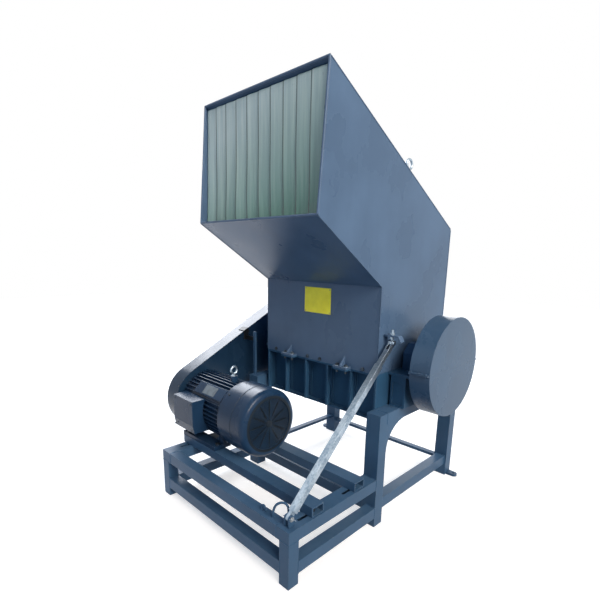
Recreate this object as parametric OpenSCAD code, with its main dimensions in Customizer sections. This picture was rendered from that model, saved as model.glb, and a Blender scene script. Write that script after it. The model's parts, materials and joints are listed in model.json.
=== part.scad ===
// Plastic granulator: a tilting feed hopper on a cutting chamber, a welded stand, a belt drive and a jack strut.
// Millimetres. X runs to the flywheel side, Y to the back, Z up. Places are worked out from the middle of the
// hopper and its front wall, and placed() then moves them to the middle of the whole machine.

/* [Hopper] */
// Outer width of the hopper and the cutting chamber
hopper_w = 900; // [800:10:1100]
// Outer depth from the hopper's front wall to its back wall
hopper_d = 710; // [690:5:760]
// Thickness of the hopper's sheet
hopper_sheet = 6; // [4:1:8]
// Height of the straight front wall above the split
front_wall_h = 474; // [450:2:560]
// Reach of the feed lip in front of the front wall
lip_reach = 503; // [430:1:560]
// Rise of the sloping mouth floor from the bend to the lip
lip_rise = 319; // [280:1:360]
// Height of the mouth from the lip to its top edge
mouth_h = 614; // [560:2:660]
// Set-back of the mouth's top edge behind the lip
mouth_lean = 48; // [10:2:80]
// Height of the hopper's back edge above the split
back_h = 802; // [760:2:860]
// Width of the bare label plate
label_w = 208; // [120:2:260]
// Height of the bare label plate
label_h = 151; // [80:1:180]
// Diameter of the lifting eye's bar
eye_bar_d = 13; // [10:1:16]
// Outer diameter of the lifting eye's ring
eye_ring_d = 62; // [54:1:80]

/* [Curtain] */
// Number of hanging plastic strips
strip_count = 10; // [6:1:12]
// Thickness of a strip
strip_t = 3; // [2:1:4]
// Overlap of a strip over its neighbour on each side
strip_lap = 12; // [5:1:20]
// Gap between the strips and the mouth floor
strip_floor_gap = 22; // [10:1:60]

/* [Cutting chamber] */
// Depth of the chamber below the split
chamber_drop = 279; // [270:1:300]
// Thickness of the chamber's plates
chamber_plate = 12; // [10:1:16]
// Set-back of the chamber's walls behind the ribs, as a share of the hopper depth
wall_share = 0.0845; // [0.07:0.0005:0.09]
// Number of ribs across the front and the rear, with the side plates' edges
rib_count = 6; // [4:1:8]
// Height of the rotor's axis above the split
rotor_rise = 36; // [30:1:40]
// Radius that the knives sweep, as a share of the hopper depth
swing_share = 0.28873; // [0.275:0.00001:0.293]
// Gap between rotor knives and fixed knives
knife_gap = 0.5; // [0.3:0.1:1]
// Diameter of the rotor shaft in its bearings
shaft_d = 100; // [90:1:110]
// Gap between the rotor knives and the screen
screen_gap = 3; // [2:1:5]
// Thickness of the screen
screen_t = 6; // [4:1:8]
// Diameter of the screen's holes
screen_hole_d = 30; // [12:1:40]

/* [Stand] */
// Height of the stand's top
stand_h = 659; // [640:1:700]
// Height of the split above the stand's top
split_rise = 195; // [190:1:210]
// Width of a stand leg and its top beam
leg_w = 88; // [84:1:100]
// Depth of a stand leg
leg_d = 72; // [65:1:80]
// Wall of the frame tubes
tube_wall = 5; // [4:1:8]
// Height of a side top beam
beam_h = 64; // [50:1:75]
// Reach of the arched gusset along the beam
arch_run = 180; // [120:5:220]
// Drop of the arched gusset down the leg
arch_drop = 165; // [120:5:200]
// Gap between the chamber's rear and the rear legs
rear_gap = 66; // [55:1:80]
// Gap between the chamber and the left side of the stand
left_gap = 30; // [10:1:40]
// Height of the stand's lower side rails above the floor
side_rail_z = 78; // [60:1:100]

/* [Motor frame] */
// Height of the motor frame
motor_frame_h = 291; // [270:1:310]
// Reach of the motor frame in front of the hopper's front wall
motor_frame_reach = 732; // [710:1:780]
// How far the motor frame stands out beyond the stand's left legs
frame_jut = 32; // [10:1:45]
// Side of the motor frame's square tube
frame_tube = 63; // [50:1:66]
// Height of the motor frame's lower rails above the floor
lower_rail_z = 55; // [40:1:80]
// Width of a motor rail
rail_w = 80; // [70:1:90]
// Height of a motor rail
rail_h = 50; // [44:1:60]

/* [Motor] */
// Height of the motor's axis above its feet
motor_axis_h = 200; // [195:1:215]
// Distance of the motor axis from the hopper front, as a share of the motor frame reach
motor_share = 0.515; // [0.5:0.001:0.533]
// Radius of the motor's fan cowl
cowl_r = 200; // [192:1:200]
// Length of the fan cowl
cowl_l = 227; // [190:1:240]
// Length of the finned motor body
motor_body_l = 414; // [400:1:420]
// Radius of the motor body under its fins
motor_core_r = 163; // [155:1:165]
// Height of the fins
fin_h = 22; // [14:1:24]
// Number of fins round the body
fin_count = 44; // [24:1:52]
// Distance between the foot holes across the motor
foot_span = 318; // [305:1:325]
// Distance between the foot holes along the motor
foot_pitch = 305; // [267:1:311]
// Diameter of the motor shaft
motor_shaft_d = 55; // [42:1:60]

/* [Belt drive and covers] */
// Width of the belt guard
guard_w = 119; // [118:1:130]
// Radius of the belt guard round the motor pulley
guard_small_r = 212; // [200:1:225]
// Radius of the belt guard round the rotor pulley
guard_big_r = 235; // [232:1:255]
// Diameter of the motor pulley
motor_pulley_d = 180; // [160:1:200]
// Diameter of the rotor pulley
rotor_pulley_d = 420; // [380:1:430]
// Number of belts
belt_count = 4; // [2:1:4]
// Radius of the flywheel cover
cover_r = 280; // [275:1:300]
// Width of the flywheel cover
cover_w = 118; // [100:1:130]
// Sheet of the covers
cover_sheet = 4; // [2:1:5]

/* [Jack strut] */
// Outer side of the strut's lower square tube
strut_tube = 32; // [30:1:36]
// Wall of the strut's tubes
strut_wall = 3; // [2:0.5:3]
// Length of the strut's lower tube
strut_tube_l = 843; // [700:1:850]
// Diameter of the strut's base pin
strut_pin_d = 16; // [14:1:18]

/* [Hidden] */
$fn = 64;

// One overrun for all cuts, and the gaps between neighbouring pieces
overrun = 5;
seat_gap = 0.3;
pin_gap = 0.05;

// Paint and metal colours
stand_paint = "#3f5976";
hopper_paint = "#5d6e86";
dark_paint = "#2c4460";
steel = "#a9bccd";
dark_steel = "#4a4f55";
cast_grey = "#1f3247";
guard_paint = "#1d3044";

// Main heights and depths
side_x = hopper_w / 2;
split_z = stand_h + split_rise;
bend_z = split_z + front_wall_h;
lip_z = bend_z + lip_rise;
mouth_top_z = lip_z + mouth_h;
mouth_top_y = mouth_lean - lip_reach;
back_top_z = split_z + back_h;
rotor_y = hopper_d / 2;
rotor_z = split_z + rotor_rise;
swing_r = hopper_d * swing_share;
rear_y = hopper_d + rear_gap;
left_in = -side_x - left_gap;
left_out = left_in - leg_w;
frame_left_x = left_out - frame_jut;
right_out = side_x + leg_w;

// Shelves, pedestals and bearing housings beside the chamber
shelf_w = 152;
shelf_t = 16;
shelf_y0 = 115;
shelf_z = split_z - shelf_t;
housing_off = 20;
housing_w = 90;
housing_d = 260;
housing_half = 110;
housing_chamfer = 50;
bearing_r = 80;
bearing_inset = 10;
pedestal_off = 15;
pedestal_x0 = side_x + pedestal_off;
pedestal_w = 95;
pedestal_y0 = 120;
pedestal_wall = 10;
panel_inset = 13;
panel_depth = 6;
shaft_r = shaft_d / 2;
shaft_step = 5;
shaft_slot_clear = 10;
shaft_slot_r = shaft_r + shaft_slot_clear;

// Flywheel cover and flywheel
cover_x0 = side_x + shelf_w;
cover_x1 = cover_x0 + cover_w;
fly_clear = 10;
fly_rim_clear = 18;
fly_r = cover_r - fly_rim_clear;
fly_rim = 60;
fly_web = 30;
fly_hub_r = 80;

// Belt guard, pulleys and belts
guard_off = 215;
guard_in = side_x + guard_off;
guard_out = guard_in + guard_w;
guard_back_t = 3;
pulley_w = 82;
pulley_gap = 18;
groove_pitch = 20;
groove_w = 16;
groove_d = 14;
belt_w = 12;
belt_t = 10;
belt_sink = 2;
motor_slot_r = 40;
slide_travel = 40;
loop_ease = 0.2;
pulley_x1 = -guard_in - pulley_gap;
pulley_x0 = pulley_x1 - pulley_w;

// Middle of the whole machine
centre_x = (cover_x1 - guard_out) / 2;
centre_y = (rear_y + leg_d - motor_frame_reach) / 2;

// Motor
motor_y = -motor_frame_reach * motor_share;
motor_seat_z = motor_frame_h + seat_gap + rail_h;
motor_z = motor_seat_z + motor_axis_h;
motor_guard_gap = 3;
motor_x0 = motor_guard_gap - guard_in;
shield_l = 12;
fan_shield_l = 20;
body_x0 = motor_x0 + shield_l;
body_x1 = body_x0 + motor_body_l;
cowl_x0 = body_x1 + shield_l;
cowl_t = 3;
cowl_shoulder = 33;
cowl_recess_r = 150;
cowl_recess = 6;
grille_r0 = 45;
grille_r1 = 130;
grille_w = 10;
grille_count = 12;
fin_t = 4;
fin_tip_r = motor_core_r + fin_h;
stator_r = 120;
stator_in_r = 81;
core_r = 80;
core_inset = 40;
motor_shaft_r = motor_shaft_d / 2;
motor_mid_x = body_x0 + motor_body_l / 2;
foot_t = 24;
foot_ends = 45;
foot_l = foot_pitch + foot_ends;
foot_in = 115;
foot_out = 197;
foot_web = 35;
foot_web_h = 75;
foot_web_out = 22;
foot_hole_r = 9.5;
foot_bolt_r = 8.5;
box_off = 34;
box_l = 216;
box_y_in = 120;
box_y_out = 233;
box_below = 120;
box_above = 84;
lid_t = 24;
lid_chamfer = 50;
plate_off = 113;
plate_l = 281;
plate_half = 38;
plate_angle = 45;
nameplate_t = 1;
nameplate_l = 120;
nameplate_half = 30;
motor_eye_off = 319;
motor_boss_r = 22;
motor_boss_h = 30;
motor_eye_ring_d = 56;
motor_eye_bar_d = 12;
fan_r = 150;
fan_off = 24;
fan_x0 = cowl_x0 + fan_off;
fan_l = 34;
fan_plate = 4;
fan_blades = 8;
fan_hub_r = 48;

// Motor rails and their bolts
rail_wall = 6;
rail_left_jut = 12;
rail_right_inset = 8;
rail_x0 = frame_left_x - rail_left_jut;
rail_x1 = right_out - rail_right_inset;
rail_bolt_r = 8;
slot_r = 9;
slot_front = 100;
slot_spare = 15;
slot_rear = slide_travel + slot_spare;
left_member_x = frame_left_x + leg_w / 2;
right_member_x = side_x + leg_w / 2;
member_z = motor_frame_h - frame_tube;

// Hexagon heads and nuts, as shares of the bolt's radius
head_r_share = 1.75;
head_h_share = 1.25;

// Feet, rear cross rail and anchor lugs
cross_rail_w = 40;
cross_rail_h = 20;
cross_rail_z = 98;
left_bar_z = 125;
lug_reach = 42;
lug_r = 25;
lug_t = 15;
anchor_hole_r = 9;
lug_inset = 3;
anchor_y = rear_y + leg_d - lug_r - lug_inset;

// Chamber
wall_y0 = hopper_d * wall_share;
wall_y1 = wall_y0 + chamber_plate;
chamber_z = split_z - chamber_drop;
rib_pitch = hopper_w / (rib_count - 1);
rib_t = 12;
rib_z1 = split_z - chamber_plate;
knife_t = 16;
knife_back_gap = 5.7;
seat_block_h = 38;
knife_z = split_z - knife_t;
knife_inset = 20;
knife_half = side_x - knife_inset;
knife_tip_y = rotor_y - sqrt(pow(swing_r + knife_gap, 2) - pow(rotor_rise, 2));
knife_l = knife_tip_y - wall_y1 - knife_back_gap;
seat_back = 8;
seat_y1 = knife_tip_y - seat_back;
clamp_t = 18;
clamp_back = 15;
clamp_off = 12;
clamp_y0 = wall_y1 + clamp_off;
clamp_y1 = knife_tip_y - clamp_back;
knife_bolt_r = 8;
knife_bolt_count = 5;
knife_bolt_y = (clamp_y0 + clamp_y1) / 2;
knife_bolt_ends = 140;
knife_bolt_span = hopper_w - knife_bolt_ends;
sill_w = 30;

// Front lugs of hopper and chamber, and the rim
lug_x_share = 0.49;
lug_x = side_x * lug_x_share;
lug_w = 100;
lug_d = 44;
lug_plate = 11;
gusset_t = 9;
gusset_h = 56;
clamp_bolt_r = 7;
clamp_bolt_x = 32;
clamp_bolt_y = 24;
clamp_hole_clear = 3;
clamp_hole_r = clamp_bolt_r + clamp_hole_clear;
clamp_tail = 18;
rim_bar = 30;
rim_bolt_r = 6;
rim_bolt_shares = [-0.81, -0.16, 0.07, 0.79];
rim_bolt_z = split_z + rim_bar / 2;

// Rear hinge of the hopper
hinge_x = side_x - rib_pitch;
hinge_off = 50;
hinge_y = hopper_d + hinge_off;
hinge_z = split_z;
hinge_plate = 16;
hinge_gap = 0.5;
hinge_r = 25;
hinge_pin_r = 12;
hinge_foot = 110;
hinge_drop = 90;
arm_x0 = hinge_plate / 2 + hinge_gap;

// Rotor
arm_w = 70;
arm_clear = 17;
arm_r = swing_r - arm_clear;
hub_r = 95;
rotor_inset = 25;
rotor_half = side_x - rotor_inset;
rotor_knife_l = 60;
rotor_knife_y1 = sqrt(pow(swing_r, 2) - pow(arm_w / 2 + knife_t, 2));
rotor_bolt_r = 8;
rotor_bolt_count = 5;
rotor_bolt_back = 35;
rotor_bolt_y = rotor_knife_y1 - rotor_bolt_back;
rotor_turn = 20;
shaft_end_clear = 5;
shaft_left_x = -guard_out + cover_sheet + shaft_end_clear;
shaft_right_x = cover_x1 - cover_sheet - fly_clear;
shaft_full_inset = 30;
shaft_full_x = side_x + shelf_w - shaft_full_inset;

// Screen and cradle
screen_r0 = swing_r + screen_gap;
screen_r1 = screen_r0 + screen_t;
screen_angle = 60;
screen_half = side_x - knife_inset;
screen_rows = 5;
screen_cols = 10;
cradle_r0 = screen_r1 + seat_gap;
cradle_depth = 36;
cradle_r1 = cradle_r0 + cradle_depth;
cradle_angle = 62;
cradle_rib_t = 14;
cradle_bar_angle = 7;
cradle_rib_shares = [-0.94, -0.56, -0.19, 0.19, 0.56, 0.94];
cradle_half = side_x - rotor_inset;
pivot_wall_gap = 24.6;
pivot_angle = 63;
pivot_y = hopper_d - wall_y1 - pivot_wall_gap;
pivot_z = rotor_z - (pivot_y - rotor_y) / tan(pivot_angle);
ear_r = 22;
ear_back_angle = 2;
ear_low_angle = 12;
rod_r = 12;

// Lifting eyes, label and curtain
eye_inset = 12;
eye_x = side_x - eye_inset;
eye_y_share = 0.32;
eye_y = hopper_d * eye_y_share;
eye_collar_r = 15;
eye_collar_h = 22;
label_t = 2;
label_up = 293;
label_z = split_z + label_up;
bar_back = 22;
bar_r = 6;
bar_drop = 13;
ring_r = 10;
ring_w = 20;
ring_count = 5;
carrier_t = 5;
carrier_h = 25;
carrier_top = 9;
curtain_side_gap = 8;

// Strut, its bracket and its clevis
strut_x = right_member_x;
base_in = 42;
base_y = base_in - motor_frame_reach;
base_up = 39;
base_z = motor_frame_h + base_up;
top_y = 60;
top_up = 178;
top_z = split_z + top_up;
strut_len = norm([top_y - base_y, top_z - base_z]);
strut_angle = atan2(top_z - base_z, top_y - base_y);
strut_pin_r = strut_pin_d / 2;
strut_start = 30;
tongue_half = 8;
tongue_r = 15;
tongue_in = 25;
ear_gap = 0.5;
ear_t = 8;
ear_half = 17;
inner_gap = 0.3;
inner_half = strut_tube / 2 - strut_wall - inner_gap;
inner_start = 65;
fork_back = 67;
yoke_l = 15;
fork_in = 8.6;
fork_t = 5;
fork_r = 16;
fork_pin_r = 10;
fork_pin_l = 5;
lock_hole_r = 6;
lock_hole_at = 521;
eye_half = 8;
eye_disc_r = 16;
stud_r = 6.9;
stud_gap = 0.1;
stud_top = 71;
nut_h = 11;
nut_r = 12;
bracket_y0 = 42;
bracket_y1 = 78;
bracket_w = 90;
bracket_t = 10;
bracket_up = 34;
bracket_lip = 30;
bracket_lip_out = 20;
bracket_lip_t = 8;

// Guard post and strap
post_w = 23;
post_t = 12;
post_y = -36;
post_over = 39;
strap_t = 4;
strap_half = 20;
strap_run = 60;
strap_arm_h = 30;
strap_drop = 70;

// Belt guard's slope, from the motor's axis to the rotor's axis
drive_span = norm([rotor_y - motor_y, rotor_z - motor_z]);
drive_tilt = atan2(rotor_z - motor_z, rotor_y - motor_y);
top_tilt = drive_tilt + asin((guard_big_r - guard_small_r) / drive_span);
strap_y = post_y + post_t;
strap_along = (strap_y - motor_y + guard_small_r * sin(top_tilt)) / cos(top_tilt);
strap_top_z = motor_z + strap_along * sin(top_tilt) + guard_small_r * cos(top_tilt);
strap_arm_z = strap_top_z - strap_drop;

// Heights of the hopper's sloping sheets at a depth
function top_sheet_z(y) = mouth_top_z
  + (y - mouth_top_y) * (back_top_z - mouth_top_z) / (hopper_d - mouth_top_y);
function floor_sheet_z(y) = bend_z - y * lip_rise / lip_reach;
top_slope = atan2(mouth_top_z - back_top_z, hopper_d - mouth_top_y);
floor_slope = atan2(lip_rise, lip_reach);
bar_y = mouth_top_y + bar_back;
bar_z = top_sheet_z(bar_y) - hopper_sheet / cos(top_slope) - bar_drop;
strip_z0 = floor_sheet_z(bar_y) + hopper_sheet / cos(floor_slope) + strip_floor_gap;

// Outline of the hopper in depth and height, and the same drawn in by a depth for each edge
hopper_outline = [
  [0, split_z], [0, bend_z], [-lip_reach, lip_z], [mouth_top_y, mouth_top_z],
  [hopper_d, back_top_z], [hopper_d, split_z]
];
hopper_inset = [hopper_sheet, hopper_sheet, -overrun, hopper_sheet, hopper_sheet, -overrun];
function direction(p, q) = (q - p) / norm(q - p);
function moved_in(p, q, depth) = let (u = direction(p, q)) p + depth * [u[1], -u[0]];
function crossed(a, b) = a[0] * b[1] - a[1] * b[0];
function meet(p, u, q, v) = p + u * crossed(q - p, v) / crossed(u, v);
function drawn_in(points, depths) = let (n = len(points)) [
  for (i = [0 : n - 1])
    let (before = points[(i + n - 1) % n], here = points[i], after = points[(i + 1) % n])
    meet(
      moved_in(before, here, depths[(i + n - 1) % n]), direction(before, here),
      moved_in(here, after, depths[i]), direction(here, after)
    )
];

// Helpers
module placed() translate([-centre_x, -centre_y, 0]) children();
module block(lo, hi) translate(lo) cube(hi - lo);
module both_sides() {
  children();
  mirror([1, 0, 0]) children();
}
module front_and_rear() {
  children();
  translate([0, 2 * rotor_y, 0]) mirror([0, 1, 0]) children();
}
module at_rotor() translate([0, rotor_y, rotor_z]) children();
module at_motor() translate([0, motor_y, motor_z]) children();
module rod_x(x0, x1, r) translate([x0, 0, 0]) rotate([0, 90, 0]) cylinder(h = x1 - x0, r = r);
module rod_z(z0, z1, r) translate([0, 0, z0]) cylinder(h = z1 - z0, r = r);
module slab_x(x0, x1) translate([x0, 0, 0]) rotate([90, 0, 90]) linear_extrude(x1 - x0) children();
module disc_ring(x0, x1, r_in, r_out) difference() {
  rod_x(x0, x1, r_out);
  rod_x(x0 - overrun, x1 + overrun, r_in);
}

// Square tube open at both ends along an axis: 0 for X, 1 for Y, 2 for Z
module tube_box(lo, hi, along, wall) difference() {
  block(lo, hi);
  block(
    [for (i = [0 : 2]) lo[i] + (i == along ? -overrun : wall)],
    [for (i = [0 : 2]) hi[i] + (i == along ? overrun : -wall)]
  );
}

// Upright leg: a tube open at the floor with a cap on top
module capped_leg(lo, hi) difference() {
  block(lo, hi);
  block([lo[0] + tube_wall, lo[1] + tube_wall, lo[2] - overrun], hi - [tube_wall, tube_wall, tube_wall]);
}

// Hexagon bolt head or nut, standing up from z = 0
module hex(r) cylinder(h = r * head_h_share, r = r * head_r_share, $fn = 6);

// Eye bolt's ring on its collar, the collar's foot at z = 0 and the ring in the plane across X
module eye(ring_d, bar_d, collar_r, collar_h) {
  cylinder(h = collar_h, r1 = collar_r, r2 = bar_d / 2);
  translate([0, 0, collar_h - bar_d / 2 + ring_d / 2]) rotate([0, 90, 0])
    rotate_extrude() translate([ring_d / 2 - bar_d / 2, 0]) circle(d = bar_d);
}

// Solid loop round the motor's and the rotor's axis, straight between them
module drive_loop(x0, x1, r_motor, r_rotor) {
  c0 = [motor_y, motor_z];
  c1 = [rotor_y, rotor_z];
  u = direction(c0, c1);
  n = [-u[1], u[0]];
  c = (r_motor - r_rotor) / norm(c1 - c0);
  s = sqrt(1 - c * c);
  p0 = r_motor - loop_ease;
  p1 = r_rotor - loop_ease;
  at_motor() rod_x(x0, x1, r_motor);
  at_rotor() rod_x(x0, x1, r_rotor);
  slab_x(x0, x1) polygon([
    c0 + p0 * (c * u + s * n), c1 + p1 * (c * u + s * n),
    c1 + p1 * (c * u - s * n), c0 + p0 * (c * u - s * n)
  ]);
}

// Sector of a ring under the rotor, angles from straight down, positive to the rear
module ring_sector(x0, x1, r_in, r_out, a0, a1) {
  reach = 2 * r_out;
  mid = (a0 + a1) / 2;
  at_rotor() slab_x(x0, x1) intersection() {
    difference() {
      circle(r = r_out);
      circle(r = r_in);
    }
    polygon([
      [0, 0], reach * [sin(a0), -cos(a0)], reach * [sin(mid), -cos(mid)], reach * [sin(a1), -cos(a1)]
    ]);
  }
}

// Stand
module stand_legs() color(stand_paint) placed()
  for (x = [side_x, left_out], y = [-leg_d, rear_y])
    capped_leg([x, y, 0], [x + leg_w, y + leg_d, stand_h]);

module arch(at_y, sign) {
  beam_z = stand_h - beam_h;
  polygon(concat([[at_y, beam_z]], [
    for (t = [0 : 10 : 90])
      [at_y + sign * arch_run * (1 - cos(t)), beam_z - arch_drop * (1 - sin(t))]
  ]));
}

module stand_side_beams() color(stand_paint) placed()
  for (x = [side_x, left_out]) {
    tube_box([x, 0, stand_h - beam_h], [x + leg_w, rear_y, stand_h], 1, tube_wall);
    slab_x(x, x + leg_w) arch(0, 1);
    slab_x(x, x + leg_w) arch(rear_y, -1);
  }

module lower_rails() color(stand_paint) placed() {
  inset = (leg_w - frame_tube) / 2;
  tube_box(
    [side_x + inset, 0, side_rail_z],
    [side_x + inset + frame_tube, rear_y, side_rail_z + frame_tube], 1, tube_wall
  );
  tube_box(
    [left_in, (frame_tube - leg_d) / 2 - frame_tube, side_rail_z],
    [side_x, (frame_tube - leg_d) / 2, side_rail_z + frame_tube], 0, tube_wall
  );
  block(
    [left_out + (leg_w - cross_rail_w) / 2, 0, left_bar_z],
    [left_out + (leg_w + cross_rail_w) / 2, rear_y, left_bar_z + cross_rail_h]
  );
  block(
    [left_in, rear_y + (leg_d - cross_rail_w) / 2, cross_rail_z],
    [side_x, rear_y + (leg_d + cross_rail_w) / 2, cross_rail_z + cross_rail_h]
  );
  z1 = lower_rail_z + frame_tube;
  for (x = [frame_left_x, right_out - frame_tube])
    tube_box(
      [x, frame_tube - motor_frame_reach, lower_rail_z],
      [x + frame_tube, -leg_d, z1], 1, tube_wall
    );
  tube_box(
    [frame_left_x + frame_tube, -motor_frame_reach, lower_rail_z],
    [right_out - frame_tube, frame_tube - motor_frame_reach, z1], 0, tube_wall
  );
}

module anchor_lug() difference() {
  union() {
    block([0, -lug_r, 0], [lug_reach, lug_r, lug_t]);
    translate([lug_reach, 0, 0]) rod_z(0, lug_t, lug_r);
  }
  translate([lug_reach, 0, 0]) rod_z(-overrun, lug_t + overrun, anchor_hole_r);
}

module anchor_lugs() color(stand_paint) placed() {
  translate([right_out, anchor_y, 0]) anchor_lug();
  translate([left_out, anchor_y, 0]) mirror([1, 0, 0]) anchor_lug();
}

// Motor frame
module motor_frame_legs() color(stand_paint) placed()
  for (x = [frame_left_x, right_out - frame_tube])
    capped_leg(
      [x, -motor_frame_reach, 0],
      [x + frame_tube, frame_tube - motor_frame_reach, member_z]
    );

module adjusting_slot(rail_y) {
  y0 = rail_y - slot_front + slot_r;
  y1 = rail_y + slot_rear - slot_r;
  z0 = member_z - overrun;
  z1 = motor_frame_h + overrun;
  block([-slot_r, y0, z0], [slot_r, y1, z1]);
  for (y = [y0, y1]) translate([0, y, 0]) rod_z(z0, z1, slot_r);
}

module motor_side_members() color(stand_paint) placed()
  for (x = [frame_left_x, side_x]) difference() {
    block([x, -motor_frame_reach, member_z], [x + leg_w, -leg_d, motor_frame_h]);
    block(
      [x + tube_wall, tube_wall - motor_frame_reach, member_z + tube_wall],
      [x + leg_w - tube_wall, overrun - leg_d, motor_frame_h - tube_wall]
    );
    for (side = [-1, 1])
      translate([x + leg_w / 2, 0, 0]) adjusting_slot(motor_y + side * foot_span / 2);
  }

module motor_front_rail() color(stand_paint) placed()
  tube_box(
    [frame_left_x + leg_w, -motor_frame_reach, member_z],
    [side_x, frame_tube - motor_frame_reach, motor_frame_h], 0, tube_wall
  );

// Cutting chamber
module chamber_body() color(dark_paint) placed() {
  both_sides() difference() {
    block([side_x - chamber_plate, 0, chamber_z], [side_x, hopper_d, split_z]);
    at_rotor() rod_x(side_x - chamber_plate - overrun, side_x + overrun, shaft_slot_r);
  }
  inside = side_x - chamber_plate;
  front_and_rear() {
    block([-inside, wall_y0, chamber_z], [inside, wall_y1, rib_z1]);
    block([-inside, 0, rib_z1], [inside, wall_y1, split_z]);
    difference() {
      block([-inside, wall_y1, knife_z - seat_block_h], [inside, seat_y1, knife_z]);
      knife_bolt_holes();
    }
    block([-inside, wall_y0 - sill_w, chamber_z], [inside, wall_y0, chamber_z + chamber_plate]);
  }
}

module knife_bolt_places()
  for (i = [0 : knife_bolt_count - 1])
    translate([(i / (knife_bolt_count - 1) - 1 / 2) * knife_bolt_span, knife_bolt_y, 0]) children();

module knife_bolt_holes() knife_bolt_places()
  rod_z(knife_z - seat_block_h - overrun, split_z + clamp_t + overrun, knife_bolt_r + pin_gap);

module chamber_ribs() color(dark_paint) placed()
  front_and_rear() for (i = [1 : rib_count - 2])
    translate([i * rib_pitch - side_x, 0, 0])
      block([-rib_t / 2, 0, chamber_z + chamber_plate], [rib_t / 2, wall_y0 - sill_w, rib_z1]);

module lug_plate_shape(z0, hole_r) difference() {
  block([-lug_w / 2, -lug_d, z0], [lug_w / 2, 0, z0 + lug_plate]);
  for (step = [-1, 1])
    translate([step * clamp_bolt_x, -clamp_bolt_y, 0]) rod_z(z0 - overrun, z0 + lug_plate + overrun, hole_r);
}

module chamber_lugs() color(dark_paint) placed()
  for (side = [-1, 1]) translate([side * lug_x, 0, 0]) lug_plate_shape(split_z - lug_plate, clamp_hole_r);

module housing_outline() {
  half = housing_d / 2;
  flat = half - housing_chamfer;
  polygon([
    [-half, -housing_half], [half, -housing_half], [half, housing_half - housing_chamfer],
    [flat, housing_half], [-flat, housing_half], [-half, housing_half - housing_chamfer]
  ]);
}

module bearing_shelves() color(dark_paint) placed()
  both_sides() difference() {
    block([side_x, shelf_y0, shelf_z], [side_x + shelf_w, hopper_d - shelf_y0, split_z]);
    block(
      [side_x + housing_off - seat_gap, rotor_y - housing_d / 2 - seat_gap, shelf_z - overrun],
      [side_x + housing_off + housing_w + seat_gap, rotor_y + housing_d / 2 + seat_gap, split_z + overrun]
    );
    at_rotor() rod_x(side_x - overrun, cover_x0 + overrun, shaft_slot_r);
  }

module bearing_pedestals() color(dark_paint) placed()
  both_sides() difference() {
    block(
      [pedestal_x0, pedestal_y0, stand_h],
      [pedestal_x0 + pedestal_w, hopper_d - pedestal_y0, shelf_z]
    );
    block(
      [pedestal_x0 - overrun, rotor_y - housing_d / 2 - seat_gap, rotor_z - housing_half],
      [pedestal_x0 + pedestal_w + overrun, rotor_y + housing_d / 2 + seat_gap, shelf_z + overrun]
    );
    block(
      [pedestal_x0 + pedestal_wall, pedestal_y0 + 2 * pedestal_wall, stand_h - overrun],
      [
        pedestal_x0 + pedestal_w - pedestal_wall, hopper_d - pedestal_y0 - 2 * pedestal_wall,
        rotor_z - housing_half - pedestal_wall
      ]
    );
    block(
      [pedestal_x0 + panel_inset, pedestal_y0 - overrun, stand_h + panel_inset],
      [pedestal_x0 + pedestal_w - panel_inset, pedestal_y0 + panel_depth, shelf_z - 3 * panel_inset]
    );
  }

module bearing_housings() color(dark_paint) placed()
  both_sides() at_rotor() difference() {
    slab_x(side_x + housing_off, side_x + housing_off + housing_w) housing_outline();
    rod_x(side_x, cover_x0, bearing_r + pin_gap);
  }

module bearings() color(steel) placed()
  both_sides() at_rotor() disc_ring(
    side_x + housing_off + bearing_inset, side_x + housing_off + housing_w - bearing_inset,
    shaft_r + pin_gap, bearing_r
  );

// Covers
module flywheel_cover() at_rotor() difference() {
  rod_x(cover_x0, cover_x1, cover_r);
  rod_x(cover_x0 + cover_sheet, cover_x1 - cover_sheet, cover_r - cover_sheet);
  rod_x(cover_x0 - overrun, cover_x0 + cover_sheet + overrun, shaft_slot_r);
}

module cover_half_space(z0, z1)
  at_rotor() block([cover_x0 - overrun, -2 * cover_r, z0], [cover_x1 + overrun, 2 * cover_r, z1]);

module flywheel_cover_upper() color(hopper_paint) placed() intersection() {
  flywheel_cover();
  cover_half_space(0, 2 * cover_r);
}

module flywheel_cover_lower() color(hopper_paint) placed() intersection() {
  flywheel_cover();
  cover_half_space(-2 * cover_r, 0);
}

module belt_guard_shell() color(guard_paint) placed() difference() {
  drive_loop(-guard_out, -guard_in - guard_back_t, guard_small_r, guard_big_r);
  drive_loop(
    -guard_out + cover_sheet, -guard_in + overrun, guard_small_r - cover_sheet, guard_big_r - cover_sheet
  );
}

module belt_guard_back() color(guard_paint) placed() {
  x0 = -guard_in - guard_back_t;
  difference() {
    drive_loop(x0, -guard_in, guard_small_r, guard_big_r);
    at_rotor() rod_x(x0 - overrun, -guard_in + overrun, shaft_slot_r);
    at_motor() {
      for (y = [0, slide_travel]) translate([0, y, 0]) rod_x(x0 - overrun, -guard_in + overrun, motor_slot_r);
      block([x0 - overrun, 0, -motor_slot_r], [-guard_in + overrun, slide_travel, motor_slot_r]);
    }
  }
}

module guard_post() color(stand_paint) placed()
  block(
    [left_out, post_y, stand_h],
    [left_out + post_w, post_y + post_t, strap_arm_z + strap_arm_h + post_over]
  );

module guard_strap() color(dark_steel) placed() {
  x0 = -guard_in;
  block([x0, strap_y, strap_arm_z], [left_out + post_w, strap_y + strap_t, strap_arm_z + strap_arm_h]);
  block(
    [x0, strap_y - strap_half, strap_arm_z],
    [x0 + strap_t, strap_y + strap_half, strap_arm_z + 2 * strap_arm_h]
  );
  translate([0, motor_y, motor_z]) rotate([top_tilt, 0, 0]) translate([0, strap_along, guard_small_r]) {
    block([x0 - strap_run, -strap_half, 0], [x0 + strap_t, strap_half, strap_t]);
    block([x0, -strap_half, -strap_arm_h], [x0 + strap_t, strap_half, strap_t]);
  }
}

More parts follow.
